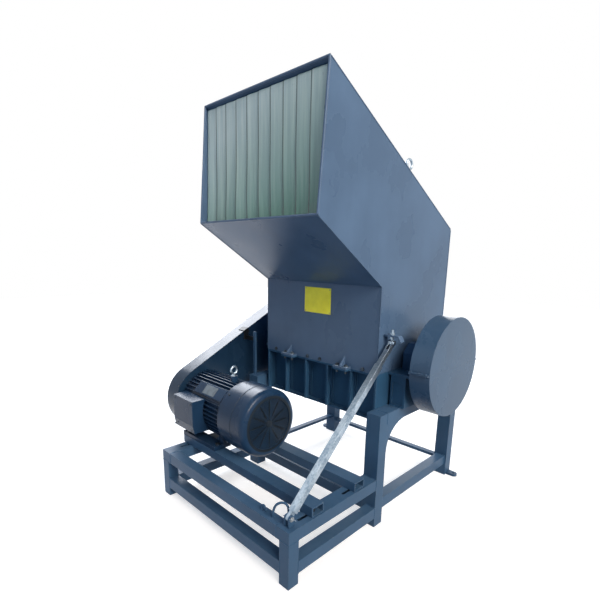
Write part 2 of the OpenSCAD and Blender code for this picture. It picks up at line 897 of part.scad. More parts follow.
// Fixed knives
module fixed_knives() color(steel) placed()
  front_and_rear() difference() {
    block([-knife_half, knife_tip_y - knife_l, knife_z], [knife_half, knife_tip_y, split_z]);
    knife_bolt_holes();
  }

module knife_clamps() color(dark_steel) placed()
  front_and_rear() difference() {
    block([-knife_half, clamp_y0, split_z], [knife_half, clamp_y1, split_z + clamp_t]);
    knife_bolt_holes();
  }

module knife_bolts() color(dark_steel) placed()
  front_and_rear() knife_bolt_places() {
    rod_z(knife_z - seat_block_h, split_z + clamp_t, knife_bolt_r);
    translate([0, 0, split_z + clamp_t]) hex(knife_bolt_r);
  }

// Belts: one loop in each groove
module belt_places()
  for (i = [0 : belt_count - 1])
    translate([(pulley_x0 + pulley_x1) / 2 + (i - (belt_count - 1) / 2) * groove_pitch, 0, 0]) children();

module v_belts() color("#202020") placed() belt_places() {
  top = belt_sink;
  bottom = belt_sink + belt_t;
  difference() {
    drive_loop(-belt_w / 2, belt_w / 2, motor_pulley_d / 2 - top, rotor_pulley_d / 2 - top);
    drive_loop(-belt_w, belt_w, motor_pulley_d / 2 - bottom, rotor_pulley_d / 2 - bottom);
  }
}

module grooved_pulley(r, bore_r) difference() {
  rod_x(pulley_x0, pulley_x1, r);
  belt_places() disc_ring(-groove_w / 2, groove_w / 2, r - groove_d, r + overrun);
  rod_x(pulley_x0 - overrun, pulley_x1 + overrun, bore_r);
}

// Jack strut's clevis on the motor frame
module strut_base_clevis() color(stand_paint) placed()
  translate([strut_x, base_y, 0]) for (side = [0, 1]) mirror([side, 0, 0]) difference() {
    union() {
      block(
        [tongue_half + ear_gap, -ear_half, motor_frame_h],
        [tongue_half + ear_gap + ear_t, ear_half, base_z]
      );
      translate([0, 0, base_z]) rod_x(tongue_half + ear_gap, tongue_half + ear_gap + ear_t, ear_half);
    }
    translate([0, 0, base_z]) rod_x(0, 2 * ear_half, strut_pin_r + pin_gap);
  }

module strut_base_pin() color(steel) placed()
  translate([strut_x, base_y, base_z]) {
    out = tongue_half + ear_gap + ear_t;
    rod_x(-out - ear_t, out + ear_t, strut_pin_r);
    rod_x(out, out + ear_t / 2, strut_pin_r + ear_t / 2);
    rod_x(-out - ear_t / 2, -out, strut_pin_r + ear_t / 2);
  }

// Rear hinge: a lug welded to the chamber between two arms on the hopper, one pin through them
module hopper_hinge_lugs() color(dark_paint) placed()
  both_sides() translate([hinge_x, 0, 0]) {
    difference() {
      slab_x(-hinge_plate / 2, hinge_plate / 2) union() {
        polygon([
          [hopper_d, hinge_z - hinge_foot], [hinge_y + hinge_r / 2, hinge_z - hinge_r],
          [hinge_y, hinge_z], [hopper_d, hinge_z - 1 / 2 * chamber_plate]
        ]);
        translate([hinge_y, hinge_z]) circle(r = hinge_r);
      }
      translate([0, hinge_y, hinge_z]) rod_x(-hinge_plate, hinge_plate, hinge_pin_r + pin_gap);
    }
    out = arm_x0 + hinge_plate + hinge_gap;
    translate([0, hinge_y, hinge_z]) {
      rod_x(-out, out, hinge_pin_r);
      rod_x(out, out + hinge_plate / 2, hinge_pin_r + hinge_plate / 4);
      rod_x(-out - hinge_plate / 2, -out, hinge_pin_r + hinge_plate / 4);
    }
  }

module cradle_hinge_rod() color(steel) placed()
  translate([0, pivot_y, pivot_z]) rod_x(chamber_plate - side_x, side_x - chamber_plate, rod_r);

// Rotor
module rotor_shaft() color(steel) placed() at_rotor() {
  rod_x(-shaft_full_x, shaft_full_x, shaft_r);
  rod_x(shaft_left_x, -shaft_full_x, shaft_r - shaft_step);
  rod_x(shaft_full_x, shaft_right_x, shaft_r - shaft_step);
}

module rotor_arms() for (i = [0 : 2]) rotate([rotor_turn + i * 120, 0, 0]) children();

module rotor_bolt_holes() rotor_arms() rotor_bolt_places()
  rotate([90, 0, 0]) rod_z(-arm_w, arm_w, rotor_bolt_r + pin_gap);

module rotor_bolt_places()
  for (i = [0 : rotor_bolt_count - 1])
    translate([(i / (rotor_bolt_count - 1) - 1 / 2) * knife_bolt_span, 0, rotor_bolt_y]) children();

module rotor_core() color(dark_steel) placed() at_rotor() difference() {
  slab_x(-rotor_half, rotor_half) difference() {
    union() {
      circle(r = hub_r);
      for (i = [0 : 2])
        rotate(rotor_turn + i * 120) translate([-arm_w / 2, shaft_r]) square([arm_w, arm_r - shaft_r]);
    }
    circle(r = shaft_r + pin_gap);
  }
  rotor_bolt_holes();
}

module rotor_knives() color(steel) placed() at_rotor() difference() {
  rotor_arms() block(
    [-rotor_half, arm_w / 2, rotor_knife_y1 - rotor_knife_l],
    [rotor_half, arm_w / 2 + knife_t, rotor_knife_y1]
  );
  rotor_bolt_holes();
}

module rotor_knife_bolts() color(dark_steel) placed() at_rotor() rotor_arms() rotor_bolt_places()
  rotate([-90, 0, 0]) {
    rod_z(-arm_w / 2, arm_w / 2 + knife_t, rotor_bolt_r);
    translate([0, 0, arm_w / 2 + knife_t]) hex(rotor_bolt_r);
  }

module rotor_pulley() color(dark_steel) placed() at_rotor() difference() {
  grooved_pulley(rotor_pulley_d / 2, shaft_r - shaft_step + pin_gap);
  web_r = rotor_pulley_d / 2 - 2 * groove_d;
  for (x = [pulley_x0, pulley_x1])
    disc_ring(x - pulley_w / 4, x + pulley_w / 4, fly_hub_r, web_r);
}

module flywheel() color(dark_steel) placed() at_rotor() {
  x0 = cover_x0 + cover_sheet + fly_clear;
  x1 = cover_x1 - cover_sheet - fly_clear;
  difference() {
    rod_x(x0, x1, fly_r);
    rod_x(x0 - overrun, x1 + overrun, shaft_r - shaft_step + pin_gap);
    pocket = (x1 - x0 - fly_web) / 2;
    disc_ring(x0 - overrun, x0 + pocket, fly_hub_r, fly_r - fly_rim);
    disc_ring(x1 - pocket, x1 + overrun, fly_hub_r, fly_r - fly_rim);
  }
}

// Motor rails and motor
module rail_bolt_places()
  for (x = [left_member_x, right_member_x], side = [-1, 1])
    translate([x, motor_y + side * foot_span / 2, 0]) children();

module foot_bolt_places()
  for (x = [-1, 1], side = [-1, 1])
    translate([motor_mid_x + x * foot_pitch / 2, motor_y + side * foot_span / 2, 0]) children();

module motor_rails() color(stand_paint) placed() {
  z0 = motor_frame_h + seat_gap;
  difference() {
    for (side = [-1, 1])
      translate([0, motor_y + side * foot_span / 2, 0])
        tube_box([rail_x0, -rail_w / 2, z0], [rail_x1, rail_w / 2, z0 + rail_h], 0, rail_wall);
    rail_bolt_places() rod_z(z0 - overrun, z0 + rail_h / 2, rail_bolt_r + pin_gap);
    foot_bolt_places() rod_z(z0 + rail_h / 2, z0 + rail_h + overrun, foot_hole_r);
  }
}

module rail_bolts() color(steel) placed() rail_bolt_places() {
  under = member_z - seat_gap;
  head_z = motor_frame_h + seat_gap + rail_wall;
  rod_z(under - 2 * rail_bolt_r, head_z, rail_bolt_r);
  translate([0, 0, head_z]) hex(rail_bolt_r);
  translate([0, 0, under]) mirror([0, 0, 1]) hex(rail_bolt_r);
}

module fin_outline() {
  circle(r = motor_core_r);
  for (i = [0 : fin_count - 1])
    rotate(i * 360 / fin_count) translate([motor_core_r - fin_t, -fin_t / 2]) square([fin_h + fin_t, fin_t]);
}

module motor_feet() for (side = [0, 1]) mirror([0, side, 0]) {
  block(
    [motor_mid_x - foot_l / 2, foot_in, -motor_axis_h],
    [motor_mid_x + foot_l / 2, foot_out, foot_t - motor_axis_h]
  );
  for (x = [motor_mid_x - foot_l / 2, motor_mid_x + foot_l / 2 - foot_web])
    block([x, foot_in - foot_web, -motor_axis_h], [x + foot_web, foot_in + foot_web_out, foot_web_h - motor_axis_h]);
}

module motor_body() color(cast_grey) placed() at_motor() difference() {
  union() {
    slab_x(body_x0, body_x1) fin_outline();
    motor_feet();
    rotate([plate_angle, 0, 0]) block(
      [body_x0 + plate_off, -plate_half, motor_core_r - fin_t],
      [body_x0 + plate_off + plate_l, plate_half, fin_tip_r]
    );
    translate([body_x0 + motor_eye_off, 0, 0]) rod_z(motor_core_r - fin_t, fin_tip_r + motor_boss_h, motor_boss_r);
  }
  rod_x(body_x0 - overrun, body_x1 + overrun, stator_r);
  translate([0, -motor_y, 0]) foot_bolt_places()
    rod_z(-motor_axis_h - overrun, foot_t - motor_axis_h + overrun, foot_hole_r);
}

module motor_end_shields() color(cast_grey) placed() at_motor() {
  disc_ring(motor_x0, body_x0, motor_shaft_r + pin_gap, motor_core_r);
  disc_ring(body_x1, body_x1 + fan_shield_l, motor_shaft_r + pin_gap, cowl_r - cowl_t - seat_gap);
}

module motor_stator() color("#8a5a34") placed() at_motor()
  disc_ring(body_x0 + core_inset, body_x1 - core_inset, stator_in_r, stator_r - seat_gap);

module fan_cowl() color(cast_grey) placed() at_motor() translate([cowl_x0, 0, 0]) difference() {
  rotate([0, 90, 0]) rotate_extrude() cowl_profile();
  for (i = [0 : grille_count - 1]) rotate([i * 360 / grille_count, 0, 0])
    block([cowl_l / 2, -grille_w / 2, grille_r0], [cowl_l + overrun, grille_w / 2, grille_r1]);
}

module cowl_profile() {
  turn = cowl_l - cowl_shoulder;
  mid_r = cowl_r - cowl_shoulder;
  inner = cowl_shoulder - cowl_t;
  floor_x = cowl_l - cowl_recess;
  polygon(concat(
    [[cowl_r, 0]],
    [for (t = [0 : 15 : 90]) [mid_r + cowl_shoulder * cos(t), turn + cowl_shoulder * sin(t)]],
    [
      [cowl_recess_r, cowl_l], [cowl_recess_r, floor_x], [0, floor_x], [0, floor_x - cowl_t],
      [cowl_recess_r + cowl_t, floor_x - cowl_t], [cowl_recess_r + cowl_t, cowl_l - cowl_t]
    ],
    [for (t = [90 : -15 : 0]) [mid_r + inner * cos(t), turn + inner * sin(t)]],
    [[cowl_r - cowl_t, 0]]
  ));
}

module terminal_box() color(cast_grey) placed() at_motor() {
  x0 = body_x0 + box_off;
  difference() {
    block([x0, -box_y_out, -box_below], [x0 + box_l, -box_y_in, box_above]);
    rod_x(x0 - overrun, x0 + box_l + overrun, fin_tip_r + seat_gap);
  }
  slab_x(x0, x0 + box_l) polygon([
    [-box_y_out, -box_below], [-box_y_out, box_above], [-box_y_out - lid_t, box_above],
    [-box_y_out - lid_t, lid_chamfer - box_below], [-box_y_out - lid_t / 2, -box_below]
  ]);
}

module motor_nameplate() color(steel) placed() at_motor() rotate([plate_angle, 0, 0]) {
  mid = body_x0 + plate_off + plate_l / 2;
  block(
    [mid - nameplate_l / 2, -nameplate_half, fin_tip_r],
    [mid + nameplate_l / 2, nameplate_half, fin_tip_r + nameplate_t]
  );
}

module motor_eye_bolt() color(steel) placed() at_motor()
  translate([body_x0 + motor_eye_off, 0, fin_tip_r + motor_boss_h])
    eye(motor_eye_ring_d, motor_eye_bar_d, motor_boss_r - fin_t, motor_eye_bar_d);

module foot_bolts() color(steel) placed() foot_bolt_places() {
  nut_z = motor_seat_z - rail_wall - foot_bolt_r * head_h_share;
  rod_z(nut_z, motor_seat_z + foot_t, foot_bolt_r);
  translate([0, 0, motor_seat_z + foot_t]) hex(foot_bolt_r);
  translate([0, 0, nut_z]) hex(foot_bolt_r);
}

module motor_shaft() color(steel) placed() at_motor()
  rod_x(shaft_left_x, fan_x0 + fan_l, motor_shaft_r);

module motor_rotor_core() color(dark_steel) placed() at_motor()
  disc_ring(body_x0 + core_inset, body_x1 - core_inset, motor_shaft_r + pin_gap, core_r);

module motor_pulley() color(dark_steel) placed() at_motor()
  grooved_pulley(motor_pulley_d / 2, motor_shaft_r + pin_gap);

module cooling_fan() color("#26292c") placed() at_motor() difference() {
  union() {
    rod_x(fan_x0, fan_x0 + fan_l, fan_hub_r);
    rod_x(fan_x0, fan_x0 + fan_plate, fan_r);
    for (i = [0 : fan_blades - 1]) rotate([i * 360 / fan_blades, 0, 0])
      block([fan_x0, -fan_plate / 2, fan_hub_r - fan_plate], [fan_x0 + fan_l, fan_plate / 2, fan_r - fan_plate]);
  }
  rod_x(fan_x0 - overrun, fan_x0 + fan_l + overrun, motor_shaft_r + pin_gap);
}

// Hopper
module hopper_shell() color(hopper_paint) placed() difference() {
  slab_x(-side_x, side_x) polygon(hopper_outline);
  slab_x(hopper_sheet - side_x, side_x - hopper_sheet) polygon(drawn_in(hopper_outline, hopper_inset));
  at_rotor() rod_x(-side_x - overrun, side_x + overrun, shaft_slot_r);
  block(
    [-side_x - overrun, rotor_y - shaft_slot_r, split_z - overrun],
    [side_x + overrun, rotor_y + shaft_slot_r, rotor_z]
  );
  rim_bolt_places() rotate([-90, 0, 0]) rod_z(-overrun, hopper_sheet + overrun, rim_bolt_r + pin_gap);
}

module lifting_eyes() color(steel) placed()
  both_sides() translate([eye_x - eye_collar_r, 0, 0]) {
    rise = eye_collar_r * tan(top_slope);
    z0 = top_sheet_z(eye_y) + rise;
    slab_x(-eye_collar_r, eye_collar_r) polygon([
      [eye_y - eye_collar_r, z0], [eye_y + eye_collar_r, z0],
      [eye_y + eye_collar_r, z0 - 2 * rise]
    ]);
    translate([0, eye_y, z0]) eye(eye_ring_d, eye_bar_d, eye_collar_r, eye_collar_h);
  }

module label_plate() color("#d9d52a") placed()
  block([-label_w / 2, -label_t, label_z], [label_w / 2, 0, label_z + label_h]);

module rim_bolt_places()
  for (share = rim_bolt_shares) translate([share * side_x, 0, rim_bolt_z]) children();

module hopper_brackets() color(hopper_paint) placed() {
  inside = side_x - hopper_sheet;
  difference() {
    front_and_rear()
      block([-inside, hopper_sheet, split_z], [inside, hopper_sheet + rim_bar, split_z + rim_bar]);
    rim_bolt_places() rotate([-90, 0, 0]) rod_z(0, 2 * rim_bar, rim_bolt_r + pin_gap);
  }
  for (side = [-1, 1]) translate([side * lug_x, 0, 0]) {
    lug_plate_shape(split_z, clamp_bolt_r + pin_gap);
    slab_x(-gusset_t / 2, gusset_t / 2) polygon([
      [0, split_z + lug_plate], [0, split_z + lug_plate + gusset_h], [-lug_d, split_z + lug_plate]
    ]);
  }
  both_sides() translate([hinge_x, 0, 0]) for (side = [0, 1]) mirror([side, 0, 0]) difference() {
    slab_x(arm_x0, arm_x0 + hinge_plate) union() {
      polygon([
        [hopper_d, hinge_z + hinge_drop], [hopper_d, hinge_z + hinge_r / 2],
        [hinge_y, hinge_z - hinge_r / 2], [hinge_y + hinge_r / 2, hinge_z + hinge_r / 2]
      ]);
      translate([hinge_y, hinge_z]) circle(r = hinge_r);
    }
    translate([0, hinge_y, hinge_z]) rod_x(0, 3 * hinge_plate, hinge_pin_r + pin_gap);
  }
  strut_bracket();
}

module strut_bracket() {
  z0 = top_z + bracket_up;
  difference() {
    block([side_x, bracket_y0, z0], [side_x + bracket_w, bracket_y1, z0 + bracket_t]);
    translate([strut_x, top_y, 0]) rod_z(z0 - overrun, z0 + bracket_t + overrun, stud_r + stud_gap);
  }
  x1 = side_x + bracket_w;
  translate([0, bracket_y1, 0]) rotate([90, 0, 0]) linear_extrude(bracket_y1 - bracket_y0) polygon([
    [x1, z0], [x1, z0 + bracket_t], [x1 + bracket_lip_out, z0 + bracket_t - bracket_lip],
    [x1 + bracket_lip_out - bracket_lip_t, z0 - bracket_lip]
  ]);
}

module hopper_bolts() color(dark_steel) placed() {
  for (side = [-1, 1], step = [-1, 1])
    translate([side * lug_x + step * clamp_bolt_x, -clamp_bolt_y, split_z]) {
      rod_z(-lug_plate - clamp_tail, lug_plate + 2 * clamp_bolt_r, clamp_bolt_r);
      translate([0, 0, lug_plate]) hex(clamp_bolt_r);
    }
  rim_bolt_places() rotate([-90, 0, 0]) {
    rod_z(0, hopper_sheet + rim_bar, rim_bolt_r);
    mirror([0, 0, 1]) hex(rim_bolt_r);
  }
}

module strut_eye_bolt() color(steel) placed()
  translate([strut_x, top_y, top_z]) {
    rod_x(-eye_half, eye_half, eye_disc_r);
    rod_z(0, stud_top, stud_r);
    translate([0, 0, bracket_up - nut_h]) cylinder(h = nut_h, r = nut_r, $fn = 6);
    translate([0, 0, bracket_up + bracket_t]) cylinder(h = nut_h, r = nut_r, $fn = 6);
  }

// Curtain
module curtain_bar() color(steel) placed()
  translate([0, bar_y, bar_z]) rod_x(hopper_sheet - side_x, side_x - hopper_sheet, bar_r);

module curtain_strips() color("#6fa08e", 0.6) placed() translate([0, bar_y, bar_z]) {
  half = side_x - hopper_sheet - curtain_side_gap;
  pitch = 2 * half / strip_count;
  z0 = strip_z0 - bar_z;
  difference() {
    union() {
      block([-half, -carrier_t / 2, -carrier_top - carrier_h], [half, carrier_t / 2, -carrier_top]);
      for (i = [0 : ring_count - 1])
        translate([((i + 1 / 2) / ring_count - 1 / 2) * 2 * half, 0, 0]) rod_x(-ring_w / 2, ring_w / 2, ring_r);
    }
    rod_x(-side_x, side_x, bar_r + pin_gap);
  }
  for (i = [0 : strip_count - 1]) {
    y0 = i % 2 == 0 ? -carrier_t / 2 - strip_t : carrier_t / 2;
    block(
      [max(-half, i * pitch - half - strip_lap), y0, z0],
      [min(half, (i + 1) * pitch - half + strip_lap), y0 + strip_t, -carrier_top]
    );
  }
}

// Jack strut, drawn along Y and then tilted
module along_strut() translate([strut_x, base_y, base_z]) rotate([strut_angle, 0, 0]) children();

module strut_outer_tube() color(steel) placed() along_strut() {
  half = strut_tube / 2;
  difference() {
    tube_box([-half, strut_start, -half], [half, strut_start + strut_tube_l, half], 1, strut_wall);
    translate([0, lock_hole_at, 0]) rod_x(-strut_tube, strut_tube, lock_hole_r);
  }
  difference() {
    union() {
      block([-tongue_half, 0, -tongue_r], [tongue_half, strut_start + tongue_in, tongue_r]);
      rod_x(-tongue_half, tongue_half, tongue_r);
    }
    rod_x(-strut_tube, strut_tube, strut_pin_r + pin_gap);
  }
}

module strut_inner_tube() color("#d5e0e8") placed() along_strut() {
  yoke_y = strut_len - fork_back;
  tube_box([-inner_half, inner_start, -inner_half], [inner_half, yoke_y, inner_half], 1, strut_wall);
  out = fork_in + fork_t;
  block([-out, yoke_y, -inner_half], [out, yoke_y + yoke_l, inner_half]);
  for (side = [0, 1]) mirror([side, 0, 0]) {
    block([fork_in, yoke_y + yoke_l, -inner_half], [out, strut_len, inner_half]);
    translate([0, strut_len, 0]) {
      rod_x(fork_in, out, fork_r);
      rod_x(out, out + fork_pin_l, fork_pin_r);
    }
  }
}

// Screen under the rotor and the cradle that carries it
module screen() color(steel) placed() difference() {
  ring_sector(-screen_half, screen_half, screen_r0, screen_r1, -screen_angle, screen_angle);
  for (row = [0 : screen_rows - 1], col = [0 : screen_cols - 1])
    at_rotor()
      translate([((col + 1 / 2) / screen_cols - 1 / 2) * 2 * screen_half, 0, 0])
      rotate([((row + 1 / 2) / screen_rows - 1 / 2) * 2 * screen_angle, 0, 0])
      rod_z(-screen_r1 - overrun, -screen_r0 + overrun, screen_hole_d / 2);
}

module screen_cradle() color(dark_paint) placed() {
  for (share = cradle_rib_shares) translate([share * cradle_half, 0, 0])
    ring_sector(-cradle_rib_t / 2, cradle_rib_t / 2, cradle_r0, cradle_r1, -cradle_angle, cradle_angle);
  for (a = [-cradle_angle, cradle_angle - cradle_bar_angle])
    ring_sector(-cradle_half, cradle_half, cradle_r0, cradle_r1, a, a + cradle_bar_angle);
  difference() {
    for (share = [cradle_rib_shares[0], cradle_rib_shares[5]])
      translate([share * cradle_half, 0, 0]) slab_x(-cradle_rib_t / 2, cradle_rib_t / 2) cradle_ear();
    translate([0, pivot_y, pivot_z]) rod_x(-side_x, side_x, rod_r + pin_gap);
  }
}

module cradle_ear() {
  mid = (cradle_r0 + cradle_r1) / 2;
  back = cradle_angle - ear_back_angle;
  low = cradle_angle - ear_low_angle;
  translate([pivot_y, pivot_z]) circle(r = ear_r);
  polygon([
    [rotor_y + mid * sin(back), rotor_z - mid * cos(back)], [pivot_y, pivot_z + ear_r],
    [pivot_y, pivot_z - ear_r], [rotor_y + mid * sin(low), rotor_z - mid * cos(low)]
  ]);
}

stand_legs();
stand_side_beams();
lower_rails();
anchor_lugs();
motor_frame_legs();
motor_side_members();
motor_front_rail();
chamber_body();
chamber_ribs();
chamber_lugs();
bearing_shelves();
bearing_pedestals();
bearing_housings();
bearings();
flywheel_cover_upper();
flywheel_cover_lower();
belt_guard_shell();
belt_guard_back();
guard_post();
guard_strap();
fixed_knives();
knife_clamps();
knife_bolts();
v_belts();
strut_base_clevis();
strut_base_pin();
hopper_hinge_lugs();
cradle_hinge_rod();
rotor_shaft();
rotor_core();
rotor_knives();
rotor_knife_bolts();
rotor_pulley();
flywheel();
motor_rails();
rail_bolts();
motor_body();
motor_end_shields();
motor_stator();
fan_cowl();
terminal_box();
motor_nameplate();
motor_eye_bolt();
foot_bolts();
motor_shaft();
motor_rotor_core();
motor_pulley();
cooling_fan();
hopper_shell();
lifting_eyes();
label_plate();
hopper_brackets();
hopper_bolts();
curtain_bar();
curtain_strips();
strut_eye_bolt();
strut_outer_tube();
strut_inner_tube();
screen();
screen_cradle();
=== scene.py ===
# %% [markdown]
# # A plastic granulator in its paint
# A granulator is a floor machine that cuts waste plastic into chips. This lesson takes the solid model of
# one, which already has the right sizes and the right joints, and gives it the look of the real machine:
# sprayed enamel on welded steel, galvanised tube, a curtain of soft plastic strips. The model is loaded as a
# frame that never moves, and every piece that is added, apart from the belts, rides on one of its bodies, so
# that the machine still works when it is posed.

# %% Load the frame
import json
import math
import random

import bpy
from mathutils import Matrix, Vector


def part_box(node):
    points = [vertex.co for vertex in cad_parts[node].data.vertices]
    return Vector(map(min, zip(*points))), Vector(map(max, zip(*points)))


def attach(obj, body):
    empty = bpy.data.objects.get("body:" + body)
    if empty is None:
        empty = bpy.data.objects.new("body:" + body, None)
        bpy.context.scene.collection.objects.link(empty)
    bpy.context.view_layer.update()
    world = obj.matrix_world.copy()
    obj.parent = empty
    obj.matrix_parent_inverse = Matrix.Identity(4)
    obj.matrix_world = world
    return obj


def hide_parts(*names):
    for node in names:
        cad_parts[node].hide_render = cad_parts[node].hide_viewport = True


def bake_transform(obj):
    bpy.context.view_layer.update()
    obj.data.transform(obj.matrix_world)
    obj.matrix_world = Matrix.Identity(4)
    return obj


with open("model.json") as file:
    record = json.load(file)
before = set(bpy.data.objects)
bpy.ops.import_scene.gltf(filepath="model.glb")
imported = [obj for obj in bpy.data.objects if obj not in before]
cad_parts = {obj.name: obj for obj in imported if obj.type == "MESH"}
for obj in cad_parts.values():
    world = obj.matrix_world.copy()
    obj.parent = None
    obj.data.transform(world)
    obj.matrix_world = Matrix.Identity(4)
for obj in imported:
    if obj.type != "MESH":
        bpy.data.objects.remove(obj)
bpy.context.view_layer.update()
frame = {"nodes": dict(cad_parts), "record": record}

# %% [markdown]
# ## One way of measuring
# The machine was drawn in millimetres from the middle of the hopper and the outside of its front wall. The
# frame has its origin in the middle of the footprint instead. One short function turns a place on the drawing
# into a place in the frame, so the numbers below can be compared with a tape measure on the real machine.

# %% Drawing to frame
DRAWING_TO_FRAME = Vector((0.032, -0.058, 0))


def at(x, y, z):
    """A place in the drawing's millimetres as metres in the frame."""
    return Vector((x, y, z)) / 1000 + DRAWING_TO_FRAME


def corners(node):
    """A solid's lowest and highest corner in the drawing's millimetres."""
    return [(c - DRAWING_TO_FRAME) * 1000 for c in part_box(node)]


hopper_low, hopper_high = corners("hopper_shell")
print("Hopper from", [round(v) for v in hopper_low], "to", [round(v) for v in hopper_high])

# %% [markdown]
# ## Colours and nodes
# Colours are read off real paint as sRGB hex values, the way a paint shop or a web page writes them. The
# shaders work with linear light, so one function turns them over. A second function adds a shader node, sets
# its own fields, and fills or links its sockets, which keeps each material below short enough to read.

# %% Colour and node helpers


def linear(hex_colour):
    """An sRGB hex colour as linear red, green, blue and alpha."""
    parts = [int(hex_colour[i : i + 2], 16) / 255 for i in (1, 3, 5)]
    return [c / 12.92 if c <= 0.04045 else ((c + 0.055) / 1.055) ** 2.4 for c in parts] + [1.0]


def add(tree, kind, sockets=None, **fields):
    """Adds one shader node. Where a socket is given a node, it takes the node's first output."""
    new = tree.nodes.new("ShaderNode" + kind)
    for field, value in fields.items():
        setattr(new, field, value)
    for socket, value in (sockets or {}).items():
        if isinstance(value, bpy.types.Node):
            value = value.outputs[0]
        if isinstance(value, bpy.types.NodeSocket):
            tree.links.new(value, new.inputs[socket])
        else:
            new.inputs[socket].default_value = value
    return new


def start_material(name, **sockets):
    """A material with one Principled shader, and the place of each point in metres."""
    material = bpy.data.materials.new(name)
    material.use_nodes = True
    tree = material.node_tree
    tree.nodes.clear()
    shader = add(tree, "BsdfPrincipled", sockets)
    add(tree, "OutputMaterial", {"Surface": shader})
    return material, tree, shader, add(tree, "TexCoord").outputs["Object"]


def plug(tree, shader, colour, roughness, bump):
    """Feeds a colour mix, a roughness range and a bump into the Principled shader."""
    tree.links.new(colour.outputs[2], shader.inputs["Base Color"])
    tree.links.new(roughness.outputs["Result"], shader.inputs["Roughness"])
    tree.links.new(bump.outputs["Normal"], shader.inputs["Normal"])


def per_metre(millimetres):
    """A texture's scale for a pattern that repeats every so many millimetres."""
    return 1000 / millimetres


HOPPER_BLUE = "#435b78"
print("Hopper blue in linear light:", [round(c, 3) for c in linear(HOPPER_BLUE)])

# %% [markdown]
# ## Sprayed enamel
# The stand, the chamber and the hopper are welded from mild steel and sprayed with semi-gloss machine enamel.
# Such paint is never flat: it has a fine orange peel from the spray gun, clouds where the coat is thinner,
# upright streaks that are partly runs in the coat and partly painted reflection of light stripes, dust on the
# faces that look up, and bare or primed edges where lifting gear has rubbed it. The Bevel node rounds the
# sharp edges of the solids for the light, and where it bends the normal most, the paint is worn.

# %% Enamel
ORANGE_PEEL_MM, PEEL_DEPTH_MM = 6, 0.4  # real peel is nearer 2 mm, drawn coarser so that it shows
# The upright streaks are partly runs in the spray coat and partly painted reflection of light stripes.
CLOUD_MM, RUN_AND_REFLECTION_STREAK_MM, DUST_MM, EDGE_MM = 260, 90, 35, 3.0
RUN_AND_REFLECTION_STREAK_WEIGHT = 0.3  # the clouds count in full
DUST_MOST = 0.15  # how much of the paint dust may hide
WORN = "#8b98a3"  # primer and bare steel


def enamel(name, colour, thin_coat_and_reflection, dust, roughness=0.36, wear=0.5, edge_mm=EDGE_MM, shine=0.2):
    """Semi-gloss enamel, with a thinner shade in clouds, upright streaks that are partly painted reflection,
    dust on top and rubbed edges.
    """
    material, tree, shader, place = start_material(name, **{"IOR": 1.5, "Specular IOR Level": shine})
    clouds = add(tree, "TexNoise", {"Vector": place, "Scale": per_metre(CLOUD_MM), "Detail": 5.0})
    # Upright streaks lighten the coat like the clouds: partly runs in the spray, partly painted reflection of
    # light stripes.
    tall = add(tree, "Mapping", {"Vector": place, "Scale": (1.0, 1.0, 0.12)})
    streaks = add(tree, "TexNoise", {"Vector": tall, "Scale": per_metre(RUN_AND_REFLECTION_STREAK_MM), "Detail": 3.0})
    both = add(tree, "Math", {0: streaks, 1: RUN_AND_REFLECTION_STREAK_WEIGHT, 2: clouds}, operation="MULTIPLY_ADD")
    share = add(tree, "MapRange", {"Value": both, "From Min": 0.5, "From Max": 0.85})
    coat_and_painted_reflection = add(tree, "Mix", {"Factor": share, 6: linear(colour), 7: linear(thin_coat_and_reflection)}, data_type="RGBA")

    facing = add(tree, "NewGeometry")
    up = add(tree, "SeparateXYZ", {"Vector": facing.outputs["Normal"]})
    specks = add(tree, "TexNoise", {
        "Vector": place, "Scale": per_metre(DUST_MM), "Detail": 8.0, "Roughness": 0.7})
    lying = add(tree, "Math", {0: up.outputs["Z"], 1: specks}, operation="MULTIPLY")
    dusty = add(tree, "MapRange", {"Value": lying, "From Min": 0.35, "From Max": 0.85, "To Max": DUST_MOST})
    dusted = add(tree, "Mix", {"Factor": dusty, 6: coat_and_painted_reflection.outputs[2], 7: linear(dust)}, data_type="RGBA")

    rounded = add(tree, "Bevel", {"Radius": edge_mm / 1000}, samples=4)
    agree = add(tree, "VectorMath", {0: rounded, 1: facing.outputs["Normal"]}, operation="DOT_PRODUCT")
    edge = add(tree, "MapRange", {"Value": agree.outputs["Value"], "From Min": 0.97, "From Max": 0.80})
    rubbed = add(tree, "MapRange", {"Value": specks, "From Min": 0.42, "From Max": 0.62, "To Max": wear})
    bare = add(tree, "Math", {0: edge, 1: rubbed}, operation="MULTIPLY")
    final = add(tree, "Mix", {"Factor": bare, 6: dusted.outputs[2], 7: linear(WORN)}, data_type="RGBA")

    dull = add(tree, "MapRange", {"Value": share, "To Min": roughness - 0.05, "To Max": roughness + 0.09})
    peel = add(tree, "TexNoise", {"Vector": place, "Scale": per_metre(ORANGE_PEEL_MM), "Detail": 2.0})
    bump = add(tree, "Bump", {
        "Height": peel, "Normal": rounded, "Strength": 0.06, "Distance": PEEL_DEPTH_MM / 1000})
    plug(tree, shader, final, dull, bump)
    return material


